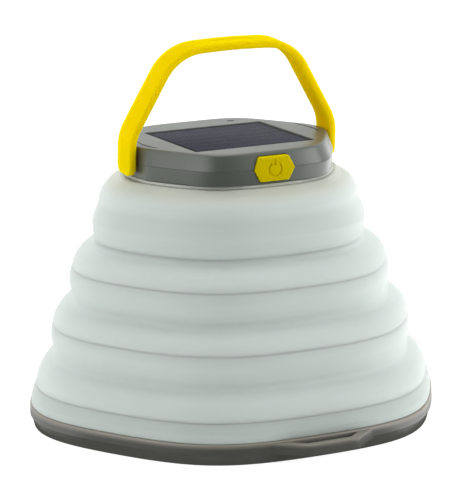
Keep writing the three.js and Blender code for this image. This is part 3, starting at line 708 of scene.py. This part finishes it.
def hang_loop():
    """The bar on two splayed arms in front of the ring's wall, with the slot between them."""
    wall = hexagon(BASE_ROUNDNESS)
    middle = (BASE_INSIDE + BASE_APOTHEM) / 2
    spread = math.atan(LOOP_ROOT_HALF / middle)
    turns = [math.pi / 2 - spread + 2 * spread * k / 16 for k in range(17)]
    root = [polar(wall(middle, a, 0), a) for a in turns]
    bend_at = (LOOP_ARM_BEND[0], BASE_APOTHEM + LOOP_ARM_BEND[1])
    arm = (LOOP_BAR_HALF + 1, LOOP_BAR_FRONT - 0.7)
    corner = (LOOP_BAR_HALF, LOOP_BAR_FRONT)
    bar = (LOOP_BAR_HALF - 1.6, LOOP_BAR_FRONT)
    half = [*curve(root[0], bend_at, arm, 8), *curve(arm, corner, bar, 5)[1:]]
    front = [(x, -y) for x, y in half] + [(-x, -y) for x, y in reversed(half)]
    outline = front + [(-x, -y) for x, y in root[1:-1]]
    slot = filleted(
        [
            (-LOOP_SLOT_BACK_HALF, -middle),
            (-LOOP_SLOT_FRONT_HALF, -LOOP_BAR_BACK, 0.8),
            (LOOP_SLOT_FRONT_HALF, -LOOP_BAR_BACK, 0.8),
            (LOOP_SLOT_BACK_HALF, -middle),
        ]
    )
    loop = prism("hang_loop", outline, LOOP_BOTTOM, LOOP_TOP, upright)
    opening = prism("slot", slot, LOOP_BOTTOM - 1, LOOP_TOP + 1, upright)
    return soften(cut(loop, opening), 0.75, segments=4, angle=50)


def screw_places():
    return [polar(SCREW_CIRCLE, math.radians(30 + 60 * k)) for k in range(6)]


def base_ring():
    profile = filleted(
        [
            (FLANGE_APOTHEM, 0, 0.3),
            (BASE_BOTTOM_APOTHEM, 0, 0.3),
            (BASE_APOTHEM - 0.4, BASE_CHAMFER_TOP, 0.1),
            (BASE_APOTHEM, BASE_CHAMFER_TOP + 0.3, 0.2),
            (BASE_APOTHEM - 0.1, BASE_HEIGHT, 0.7),
            (BASE_INSIDE, BASE_HEIGHT, 0.15),
            (BASE_INSIDE, FLANGE_THICKNESS, 0.3),
            (FLANGE_APOTHEM, FLANGE_THICKNESS, 0.3),
        ]
    )
    ring = turned("base_ring_moulding", profile, hexagon(BASE_ROUNDNESS))
    unite(ring, hang_loop())
    wells = [
        prism("well", ring_of(SCREW_HEAD_RADIUS + 0.35, 28, place), -1, FLANGE_THICKNESS + 1, upright)
        for place in screw_places()
    ]
    return cut(ring, *wells)


def base_plate():
    """The underside: a flat foot rim, a groove and a middle set back in two steps."""
    dish = FLANGE_APOTHEM - 0.3
    rim = BASE_INSIDE - 0.3
    middle, step, groove = 4.0, 18.0, 36.0
    low, high, roof = 1.4, 1.8, 3.0
    profile = [(middle, 0.5), (middle + 0.5, 0.7, 0.2), (step, 0.7, 0.3), (step + 0.4, 0.35, 0.2)]
    profile += [(groove, 0.35, 0.3), (groove + 0.4, 0.8, 0.2), (groove + 2.2, 0.8, 0.2)]
    profile += [(groove + 2.6, 0.0, 0.2), (dish, 0.0, 0.3), (dish, high, 0.2), (rim, high, 0.2)]
    profile += [(rim, roof, 0.3), (dish - 1.4, roof, 0.2), (dish - 1.4, low, 0.3), (middle, low)]
    profile = filleted(profile, closed=False)
    plate = turned("base_plate_moulding", profile, hexagon(BASE_ROUNDNESS), solid=True)
    holes = [prism("hole", ring_of(1.25, 20, place), 0.5, 4, upright) for place in screw_places()]
    return cut(plate, *holes)


def screw(name, place, seat, tip):
    """A pan-head screw pointing up, with a cross recess in its head and a thread."""
    under = seat - SCREW_HEAD_HEIGHT
    head = [(0.05, under), (SCREW_HEAD_RADIUS, under, 0.7), (SCREW_HEAD_RADIUS, seat)]
    thread = []
    for k in range(int((tip - seat) / SCREW_PITCH)):
        foot = seat + SCREW_PITCH * k
        thread += [(SCREW_CORE, foot + 0.05), (SCREW_THREAD, foot + 0.22), (SCREW_CORE, foot + 0.4)]
    profile = filleted(head, closed=False) + thread + [(0.5, tip)]
    body = turned(name, profile, circle, steps=28, solid=True)
    reach, half = 1.0, 0.18
    arms = [
        prism("arm", rectangle((-x, -y), (x, y)), under - 0.5, under + SCREW_RECESS, upright)
        for x, y in ((reach, half), (half, reach))
    ]
    cut(body, *arms)
    body.data.transform(Matrix.Translation(Vector((*place, 0)) * UNIT))
    return body


def joined(name, pieces):
    """Several separate solids as one object."""
    form = bmesh.new()
    for piece in pieces:
        form.from_mesh(piece.data)
        bpy.data.objects.remove(piece)
    mesh = bpy.data.meshes.new(name)
    form.to_mesh(mesh)
    form.free()
    return new_object(name, mesh)


finish_piece(base_ring(), "base_housing", "base", ["base_ring"])
finish_piece(base_plate(), "base_plate", "base", ["base_plate"])
base_screw_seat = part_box("base_screw_1")[0].z / UNIT + SCREW_HEAD_HEIGHT
base_screw_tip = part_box("base_screw_1")[1].z / UNIT
base_screws = joined(
    "base_screws", [screw("screw", place, base_screw_seat, base_screw_tip) for place in screw_places()]
)
finish_piece(base_screws, "steel", "base", [f"base_screw_{k}" for k in range(1, 7)])

# ---- diffuser


def web(crown, groove, shoulder=WEB_SHOULDER):
    """Points of a folding web, from the crown below it up to the groove above it."""
    across, rise = crown[0] - groove[0], groove[1] - crown[1]
    bend = (groove[0] + across * shoulder[0], crown[1] + rise * shoulder[1])
    return curve(crown, bend, groove, WEB_STEPS)[:-1]


def skin_shell(name, path, lip_below, lip_above):
    """A skin of even thickness behind an outer path. Its foot stands proud and its top stands back."""
    inner = moved_in(path, SKIN)
    inner[0] = (path[0][0] - SKIN, path[0][1])
    inner[-1] = (path[-1][0] - SKIN, path[-1][1])
    outer = []
    for apothem, height in path:
        near_start = max(0.0, 1 - abs(height - path[0][1]) / LIP_FADE) ** 2
        near_end = max(0.0, 1 - abs(height - path[-1][1]) / (0.5 * LIP_FADE)) ** 2
        outer.append((apothem + lip_below * near_start - lip_above * near_end, height))
    return turned(name, outer + inner[::-1], hexagon(SKIN_ROUNDNESS))


def mark(piece, name, value_at):
    """Stores a value at each point of a piece, by its height."""
    marks = piece.data.attributes.new(name, "FLOAT", "POINT")
    for vertex in piece.data.vertices:
        marks.data[vertex.index].value = value_at(vertex.co.z / UNIT)


def clamped(value):
    return min(1.0, max(0.0, value))


def painted_web_light(height, groove_height):
    """Painted light and shade on the skin: 1 in a web, most at its groove and 0 in the band; less near the
    base, as painted shade.
    """
    lit_web_share = clamped(0.5 + (groove_height - height) / 1.2)
    groove_light = math.exp(-(((height - groove_height) / GROOVE_LIGHT_HALF) ** 2))
    return lit_web_share + 1.1 * groove_light - 0.7 * clamped(1 - height / PAINTED_SHADE_HEIGHT)


def fold_path(crown_below, tier):
    """A fold's outer surface: the web from the crown below, then the band up to its own crown."""
    groove, underside, belly, crown = (tier[key] for key in ("groove", "underside", "belly", "crown"))
    slope = web(crown_below, groove)[:-WEB_TAIL]
    band = [slope[-1], (*groove, 2.5), (*underside, 3.0), (*belly, 6.0), crown]
    return slope + filleted(band, closed=False, step=math.radians(5))[1:]


def foot_piece():
    """The foot: a hem inside the base ring, a ledge on the ring's edge and the lowest crown."""
    hem, wall, ledge, belly, crown = (FOOT[key] for key in ("hem", "wall", "ledge", "belly", "crown"))
    corners = [hem, (*wall, 0.2), (*ledge, 0.3), (*belly, 1.2), crown]
    outer = filleted(corners, closed=False, step=math.radians(6))
    inner = [(apothem - SKIN, height) for apothem, height in (crown, belly, wall, hem)]
    return turned("diffuser_foot_skin", outer + inner, foot_outline)


foot = foot_piece()
# Painted shade: the whole foot is darkened.
mark(foot, "thin", lambda height: FOOT_PAINTED_SHADE)
finish_piece(foot, "silicone", "base", ["diffuser_foot"])

below = FOOT["crown"]
for k, tier in enumerate(TIERS):
    number = 3 - k
    path = fold_path(below, tier)
    nodes = [f"diffuser_web_{number + 1}"]
    groove_height = tier["groove"][1]
    if number == 1:
        seam = next(i for i, point in enumerate(path) if point[1] > groove_height + BAND_SEAM)
        top_band, path = path[seam:], path[: seam + 1]
    else:
        nodes.append(f"diffuser_band_{number}")
    fold = skin_shell(f"diffuser_fold_{number}", path, LIP, 0.0 if number == 1 else LIP)
    # Painted light in the web and at its groove, painted shade low down.
    mark(fold, "thin", lambda height: painted_web_light(height, groove_height))
    finish_piece(fold, "silicone", replaces=nodes)
    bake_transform(fold)
    below = tier["crown"]

# The neck is the uppermost band and the web above it, which ends in a slope under the cap.
neck_web = web(NECK_BEND, NECK, NECK_SHOULDER)
lead, tail = neck_web[NECK_LEAD - 1], neck_web[-NECK_TAIL]
neck_bend = filleted([below, (*NECK_BEND, 8.0), lead], closed=False, step=math.radians(3))
neck_slope = filleted([tail, (*NECK, 1.0), NECK_TOP], closed=False, step=math.radians(3))
neck_path = top_band[:-1] + neck_bend + neck_web[NECK_LEAD:-NECK_TAIL] + neck_slope
neck = skin_shell("diffuser_neck", neck_path, 0.0, 0.0)
# Painted light: the neck also gets lighter towards its top.
mark(neck, "thin", lambda height: painted_web_light(height, groove_height) + clamped((height - NECK_BEND[1]) / 2.0))
# The neck's top and the collar are tinted yellower.
mark(neck, "yellower_share", lambda height: clamped(1 - (NECK[1] - height) / YELLOWER_REACH))
finish_piece(neck, "silicone", replaces=["diffuser_band_1", "diffuser_web_1"])
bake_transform(neck)

# The collar stands inside the top of the neck, and only its bead shows, below the cap.
collar_ledge = NECK_TOP[0] - SKIN - 0.3
collar_step = NECK_TOP[1] + 0.05
collar_profile = filleted(
    [
        (COLLAR_INSIDE, COLLAR_FOOT, 0.2),
        (collar_ledge, COLLAR_FOOT, 0.2),
        (collar_ledge, collar_step, 0.05),
        (COLLAR_BEAD + 0.1, collar_step, 0.1),
        (COLLAR_BEAD, COLLAR_TOP, 0.2),
        (COLLAR_INSIDE, COLLAR_TOP, 0.1),
    ]
)
collar = turned("diffuser_collar_rim", collar_profile, collar_outline)
mark(collar, "yellower_share", lambda height: 1.0)
finish_piece(collar, "silicone", "head", ["diffuser_collar"])

# ---- cap


def button_outline(margin, corner=0.3):
    """The elongated hexagon of the button, grown all round by a margin."""
    wide = BUTTON_HALF_WIDTH + 1.2 * margin
    top = BUTTON_TOP_HALF + 0.6 * margin
    middle = BUTTON_HEIGHT
    low, high = middle - BUTTON_HALF_HEIGHT - margin, middle + BUTTON_HALF_HEIGHT + margin
    points = [(-wide, middle), (-top, low), (top, low), (wide, middle), (top, high), (-top, high)]
    return filleted([(*point, corner) for point in points], step=math.radians(20))


def side_openings():
    """What opens the cap's sides: the button, the charging port and the pivot bores."""
    cutters = [
        prism("opening", button_outline(BUTTON_GAP), -30, -24, facing_front),
        prism("opening", rectangle(*PORT_OPENING, 0.4), 20, 30, facing_front),
    ]
    bore = ring_of(PIN_RADIUS + PIN_CLEARANCE, 32, (0, PIVOT_Z))
    for side in (-1, 1):
        ends = sorted((side * 24.5, side * 40))
        cutters.append(prism("bore", bore, *ends, facing_side))
    return cutters


def cap_housing():
    inside = CAP_APOTHEM - CAP_WALL
    profile = [(CAP_BOTTOM_APOTHEM - 3, CAP_BOTTOM), (CAP_BOTTOM_APOTHEM, CAP_BOTTOM, 0.35)]
    profile += [(CAP_APOTHEM, CAP_PARTING - SEAM, 0.06), (inside, CAP_PARTING - SEAM)]
    shell = turned("cap_lower_shell", filleted(profile, closed=False), cap_outline(), solid=True)
    floor = CAP_BOTTOM + CAP_FLOOR
    hollow = turned("hollow", [(inside, floor), (inside, CAP_PARTING + 1)], cap_outline(CAP_WALL), solid=True)
    cut(shell, hollow)
    tub = prism("tub", ring_of(TUB_RADIUS, 96), TUB_BOTTOM, floor, upright)
    unite(shell, tub)
    bore = prism("bore", ring_of(TUB_INSIDE, 96), TUB_BOTTOM + CAP_FLOOR, CAP_PARTING, upright)
    mouth = prism("mouth", ring_of(TUB_MOUTH, 96), 60, 70, upright)
    return cut(shell, bore, mouth, *side_openings())


def arc_groove(side):
    """A shallow arc sunk into the top of the cap beside a flat."""
    count = 20
    points = []
    for radius, order in zip(ARC_RADII, (1, -1)):
        for k in range(count + 1)[::order]:
            angle = -ARC_REACH + 2 * ARC_REACH * k / count
            points.append((side * (radius * math.cos(angle) + 0.6), radius * math.sin(angle)))
    if side < 0:
        points.reverse()
    return prism("groove", points, CAP_TOP - ARC_DEPTH, CAP_TOP + 1, upright)


def cap_cover():
    inside = CAP_APOTHEM - CAP_WALL
    profile = [(inside, CAP_PARTING + SEAM), (CAP_APOTHEM, CAP_PARTING + SEAM, 0.06)]
    profile += [(CAP_TOP_APOTHEM + 0.15, CAP_TOP, 0.9), (CAP_TOP_APOTHEM - 3, CAP_TOP)]
    shell = turned("cap_upper_shell", filleted(profile, closed=False), cap_outline(), solid=True)
    hollow = turned(
        "hollow",
        [(inside, CAP_PARTING - 1), (inside, CAP_PARTING), (CAP_TOP_APOTHEM - CAP_WALL, CAP_TOP - CAP_ROOF)],
        cap_outline(CAP_WALL),
        solid=True,
    )
    cut(shell, hollow)
    half = (PANEL_HALF_WIDTH, PANEL_HALF_DEPTH)

    def around_panel(margin, corner):
        low = (-half[0] - margin, PANEL_CENTRE_Y - half[1] - margin)
        high = (half[0] + margin, PANEL_CENTRE_Y + half[1] + margin)
        return rectangle(low, high, corner)

    tray = prism("tray", around_panel(TRAY_MARGIN, 1.0), PANEL_BOTTOM - 1.8, CAP_TOP - 1, upright)
    unite(shell, tray)
    chamfer = 0.2
    narrow = around_panel(PANEL_GAP, 0.5)
    wide = around_panel(PANEL_GAP + chamfer, 0.5 + chamfer)
    levels = [(narrow, PANEL_BOTTOM - 0.9), (narrow, CAP_TOP - chamfer), (wide, CAP_TOP), (wide, CAP_TOP + 1)]
    pocket = stacked("pocket", [[(*point, height) for point in outline] for outline, height in levels])
    light = prism("light", ring_of(INDICATOR_RADIUS, 28, INDICATOR), 70, 80, upright)
    return cut(shell, pocket, light, arc_groove(-1), arc_groove(1), *side_openings())


finish_piece(cap_housing(), "housing", "head", ["head_housing"])
finish_piece(cap_cover(), "housing", "head", ["head_cover"])


def solar_panel():
    """The laminate: a thin board whose clear top has softened edges."""
    low = (-PANEL_HALF_WIDTH, PANEL_CENTRE_Y - PANEL_HALF_DEPTH)
    high = (PANEL_HALF_WIDTH, PANEL_CENTRE_Y + PANEL_HALF_DEPTH)
    panel = prism("solar_laminate", rectangle(low, high, 0.35), PANEL_BOTTOM, PANEL_TOP, upright)
    return soften(panel, 0.15, segments=3, angle=60)


finish_piece(solar_panel(), "solar_cell", "head", ["solar_panel"])


def power_button():
    """The key: a softly edged hexagon with an engraved power symbol, on its retaining tabs."""
    rings = [[(u, -BUTTON_BACK, v) for u, v in button_outline(0)]]
    steps = 6
    for k in range(steps + 1):
        turn = math.pi / 2 * k / steps
        inset, depth = BUTTON_EDGE * (1 - math.cos(turn)), BUTTON_EDGE * (1 - math.sin(turn))
        rings.append([(u, -BUTTON_FACE + depth, v) for u, v in button_outline(-inset)])
    key = stacked("power_key", rings)
    tab_outline = rectangle((-7.3, 70.2), (7.3, 72.2), 0.4)
    tabs = prism("tabs", tab_outline, -BUTTON_BACK - 0.8, -BUTTON_BACK, facing_front)
    stem = prism("stem", rectangle((-1.4, 71.6), (1.4, 73.2), 0.3), -BUTTON_BACK - 0.2, -23.7, facing_front)
    unite(key, tabs, stem)
    return cut(key, *power_symbol())


def power_symbol():
    """Cutters for the symbol: a ring open at its top, and a bar in the opening."""
    half, over = SYMBOL_HALF_WIDTH, 0.3
    slope = ((half, over), (half, 0.0), (0.5 * half, -SYMBOL_DEPTH))
    section = [(-across, out) for across, out in slope] + list(reversed(slope))

    def stroke(points):
        """A groove with a narrower floor along a path of (x, z) points."""
        path = [Vector(point) for point in points]
        rings = []
        for k, point in enumerate(path):
            along = (path[min(k + 1, len(path) - 1)] - path[max(k - 1, 0)]).normalized()
            spots = [(point + Vector((-along.y, along.x)) * across, out) for across, out in section]
            rings.append([(spot.x, -BUTTON_FACE - out, spot.y) for spot, out in spots])
        return stacked("stroke", rings)

    count = 44
    sweep = 2 * (math.pi - SYMBOL_OPENING)
    angles = [math.pi / 2 + SYMBOL_OPENING + sweep * k / count for k in range(count + 1)]
    ring = [(SYMBOL_RADIUS * math.cos(a), BUTTON_HEIGHT + SYMBOL_RADIUS * math.sin(a)) for a in angles]
    return [stroke(ring), stroke([(0.0, BUTTON_HEIGHT + end) for end in SYMBOL_BAR])]


finish_piece(power_button(), "button_plastic", "button", ["power_button"])


def port_cover():
    """The rubber flap over the charging port: a plate with grips, a bending line and its plug."""
    lowest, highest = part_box("port_cover")
    low, high = lowest.z / UNIT, highest.z / UNIT - FLAP_SHORTER
    back, half = highest.y / UNIT - FLAP_BACKSET, FLAP_HALF_WIDTH

    def slab(name, low_corner, high_corner, corner, front, rear):
        return prism(name, rectangle(low_corner, high_corner, corner), front, rear, facing_front)

    plate = slab("port_flap_rubber", (-half, low), (half, high), 1.2, back - FLAP_THICKNESS, back)
    soften(plate, 0.15, segments=3, angle=50)
    unite(plate, slab("plug", *FLAP_PLUG, 0.4, 26.6, back - 0.3))
    heights = [high - 1.0 - FLAP_GRIP_PITCH * k for k in range(3)]
    grips = [slab("grip", (-3.2, z - 0.16), (3.2, z + 0.16), 0.15, back - 0.16, back + 1) for z in heights]
    fold = slab("fold", (-half - 1, low + 0.75), (half + 1, low + 1.05), 0.0, back - 0.2, back + 1)
    return cut(plate, fold, *grips)


finish_piece(port_cover(), "port_rubber", "port_flap", ["port_cover"])

# ---- handle


def handle_line():
    """The handle's outer line from one foot over the crest to the other, as (x, z from pivot)."""
    right = [
        (HANDLE_HALF_SPAN, -HANDLE_FOOT),
        (*HANDLE_SHOULDER, HANDLE_SHOULDER_RADIUS),
        (*HANDLE_TOP_CORNER, HANDLE_TOP_RADIUS),
    ]
    left = [(-x, z, *rest) for x, z, *rest in reversed(right)]
    return filleted([*right, (0, HANDLE_CREST, 220), *left], closed=False, step=math.radians(2.5))


def resampled(path, spacing):
    """The same path with points at most a spacing apart."""
    dense = [Vector(path[0])]
    for before, after in zip(path, path[1:]):
        before, after = Vector(before), Vector(after)
        count = max(1, math.ceil((after - before).length / spacing))
        dense += [before.lerp(after, k / count) for k in range(1, count + 1)]
    return dense


def handle_section(half_width, thickness, edge):
    """A rounded rectangle as (across, inward) points."""
    edge = min(edge, 0.98 * half_width, 0.49 * thickness)
    corners = [(-half_width, 0), (half_width, 0), (half_width, thickness), (-half_width, thickness)]
    return filleted([(*corner, edge) for corner in corners], step=math.radians(15))


def handle_mesh():
    """The band, with rounded edges and rounded feet, its pins and the shallow recess on top."""
    foot_corner, edge = HANDLE_FOOT_CORNER, HANDLE_EDGE
    path = resampled(handle_line(), 0.7)
    length = [0.0]
    for before, after in zip(path, path[1:]):
        length.append(length[-1] + (after - before).length)
    total = length[-1]
    rings = []

    def ring_at(point, along, tip):
        """A cross-section, narrower near a foot's tip."""
        short = max(0.0, foot_corner - tip)
        half = HANDLE_WIDTH / 2 - foot_corner + math.sqrt(max(0.0, foot_corner**2 - short**2))
        thin = edge - math.sqrt(max(0.0, edge**2 - max(0.0, edge - tip) ** 2))
        inward = Vector((-along.y, along.x))
        points = []
        for across, depth in handle_section(half, HANDLE_THICKNESS - 2 * thin, edge - thin * 0.5):
            spot = point + inward * (depth + thin)
            points.append((spot.x, across, spot.y))
        return points

    spread = [0.02, 0.08, 0.18, 0.32, 0.5, 0.75, 1.1, 1.5, 2.0, 2.5]
    first, last = path[0], path[-1]
    up = Vector((0, 1))
    for tip in spread:
        rings.append(ring_at(first + up * tip, up, tip))
    for k in range(1, len(path) - 1):
        tip = min(length[k], total - length[k])
        if tip > spread[-1] + 0.1:
            rings.append(ring_at(path[k], (path[k + 1] - path[k - 1]).normalized(), tip))
    for tip in reversed(spread):
        rings.append(ring_at(last + up * tip, -up, tip))
    band = stacked("carrying_handle", rings)

    pins = []
    for side in (-1, 1):
        inner, outer = side * PIN_END, side * (HANDLE_HALF_SPAN - 0.8)
        stations = [(inner, PIN_RADIUS - 0.25), (inner + side * 0.25, PIN_RADIUS), (outer, PIN_RADIUS)]
        rings = [[(x, u, v) for u, v in ring_of(radius, 32)] for x, radius in stations]
        pins.append(stacked("pin", rings))
    unite(band, *pins)
    long, wide = RECESS
    floor = rectangle((-long, -wide), RECESS, 0.9)
    long, wide = long + RECESS_FLARE, wide + RECESS_FLARE
    mouth = rectangle((-long, -wide), (long, wide), 1.4)
    levels = [(floor, HANDLE_CREST - RECESS_DEPTH), (mouth, HANDLE_CREST + 1)]
    cut(band, stacked("recess", [[(*point, height) for point in outline] for outline, height in levels]))
    lean = Matrix.Rotation(HANDLE_LEAN, 4, "X")
    band.data.transform(Matrix.Translation((0, 0, PIVOT_Z * UNIT)) @ lean)
    return band


finish_piece(handle_mesh(), "yellow_plastic", "bail", ["handle"], sharp=40)

# ---- CAD parts that stay

NODE_LOOKS = {"indicator_window": "smoked_plastic"}
for part in frame["record"]["subparts"]:
    node = frame["nodes"][part["node"]]
    look = LOOKS[NODE_LOOKS.get(part["node"], part["material_slot"])]
    if node.data.materials:
        for index in range(len(node.data.materials)):
            node.data.materials[index] = look
    else:
        node.data.materials.append(look)

# ---- stage

AZIMUTH = math.radians(-25.49)  # of the camera, from the front


def pale_floor():
    """A pale studio floor that stays bright under soft light."""
    shader = Shader("pale_floor")
    paper = shader.noise(30, detail=3.0)
    shader.set(
        Base_Color=shader.mix(paper, (0.28, 0.28, 0.28, 1), (0.31, 0.31, 0.31, 1)),
        Roughness=0.9,
        Specular_IOR_Level=0.1,
        Emission_Color=(1, 1, 1, 1),
        Emission_Strength=0.9,
    )
    half = 4000
    corners = [(x, y, 0) for x, y in ((-half, -half), (half, -half), (half, half), (-half, half))]
    floor = add_piece("studio_floor", corners, [(0, 1, 2, 3)])
    floor.data.materials.append(shader.material)


def soft_light(name, place, size, power, target=(0, 0, 0.05)):
    light = bpy.data.lights.new(name, "AREA")
    light.shape = "RECTANGLE"
    light.size, light.size_y = size
    light.energy = power
    lamp = new_object(name, light)
    lamp.location = place
    lamp.rotation_euler = (Vector(target) - Vector(place)).to_track_quat("-Z", "Y").to_euler()
    lamp.visible_camera = False


FLAG_REACH = 1500
CONTACT_REACH = 59
CARD_HEIGHT = 0.1
FLAG_SPAN = (math.radians(-52), math.radians(54))  # to the left and right of the camera
REFLECTOR_END = math.radians(165)


def flag(name, rows, span):
    """A dark, curved studio flag through (radius, height) rows. The camera sees past it."""
    shader = Shader(name)
    weave = shader.noise(900, detail=2.0)
    shader.set(
        Base_Color=shader.mix(weave, (0.018, 0.018, 0.018, 1), (0.024, 0.024, 0.024, 1)),
        Roughness=1.0,
        Specular_IOR_Level=0.0,
    )
    steps = 24
    verts = []
    for radius, height in rows:
        for k in range(steps + 1):
            share = k / steps
            angle = AZIMUTH - math.pi / 2 + span[0] * (1 - share) + span[1] * share
            verts.append((*polar(radius, angle), height))
    row = steps + 1
    cloth = add_piece(name, verts, [(k, k + 1, row + k + 1, row + k) for k in range(steps)])
    cloth.data.materials.append(shader.material)
    cloth.visible_camera = False
    return cloth


def lying_card(name, near, far, span):
    """A dark card just above the floor, between two distances from the lantern's axis."""
    return flag(name, [(near, CARD_HEIGHT), (far, CARD_HEIGHT)], span)


def front_flags():
    """One flag keeps light off the near side; the two on the floor only dull what shines."""
    flag("standing_flag", [(FLAG_REACH, 30), (FLAG_REACH, 2600)], FLAG_SPAN)
    only_for_gloss(lying_card("lying_flag", CONTACT_REACH, FLAG_REACH, FLAG_SPAN))
    only_for_gloss(lying_card("contact_flag", BASE_APOTHEM - 5, CONTACT_REACH, (-math.pi, math.pi)))


def only_for_gloss(card):
    """A card that nothing but shining surfaces sees."""
    card.visible_diffuse = False
    card.visible_shadow = False
    card.visible_transmission = False


def reflector(name, span, strength):
    """A bright card on the floor beside the lantern, which shines in its sides."""
    card = lying_card(name, CONTACT_REACH, FLAG_REACH, span)
    surface = card.data.materials[0].node_tree.nodes["Principled BSDF"]
    surface.inputs["Emission Color"].default_value = (1, 1, 1, 1)
    surface.inputs["Emission Strength"].default_value = strength
    only_for_gloss(card)


pale_floor()
front_flags()
reflector("right_reflector", (FLAG_SPAN[1], REFLECTOR_END), 2.0)
reflector("left_reflector", (-REFLECTOR_END, FLAG_SPAN[0]), 1.0)
soft_light("left_box", (-1.3, -0.3, 0.5), (0.9, 1.0), 4.5)
soft_light("right_box", (1.1, -0.75, 0.4), (0.9, 1.0), 7.5)
soft_light("top_box", (0.0, 0.3, 1.3), (1.2, 1.0), 4.3)

scene = bpy.context.scene
world = bpy.data.worlds.new("studio")
scene.world = world
world.use_nodes = True
background = world.node_tree.nodes["Background"].inputs
background["Color"].default_value = (1, 1, 1, 1)
background["Strength"].default_value = 1.0
scene.view_settings.view_transform = "Standard"
scene.view_settings.look = "None"

# ---- camera

ELEVATION = math.radians(12.48)
ROLL = math.radians(-1.08)
DISTANCE = 0.7655
AIM_HEIGHT = 0.04423
SIDESTEP = 0.0004
LENS = 202.2

back = Vector(
    (
        math.sin(AZIMUTH) * math.cos(ELEVATION),
        -math.cos(AZIMUTH) * math.cos(ELEVATION),
        math.sin(ELEVATION),
    )
)
right = Vector((math.cos(AZIMUTH), math.sin(AZIMUTH), 0))
up = right.cross(-back)
turned_right = right * math.cos(ROLL) + up * math.sin(ROLL)
turned_up = up * math.cos(ROLL) - right * math.sin(ROLL)
eye = Vector((0, 0, AIM_HEIGHT)) + back * DISTANCE + right * SIDESTEP

camera = new_object("camera", bpy.data.cameras.new("camera"))
camera.matrix_world = Matrix.Translation(eye) @ Matrix((turned_right, turned_up, back)).transposed().to_4x4()
camera.data.sensor_width = 36
camera.data.lens = LENS
camera.data.clip_start = 0.05
camera.data.clip_end = 30
scene.camera = camera
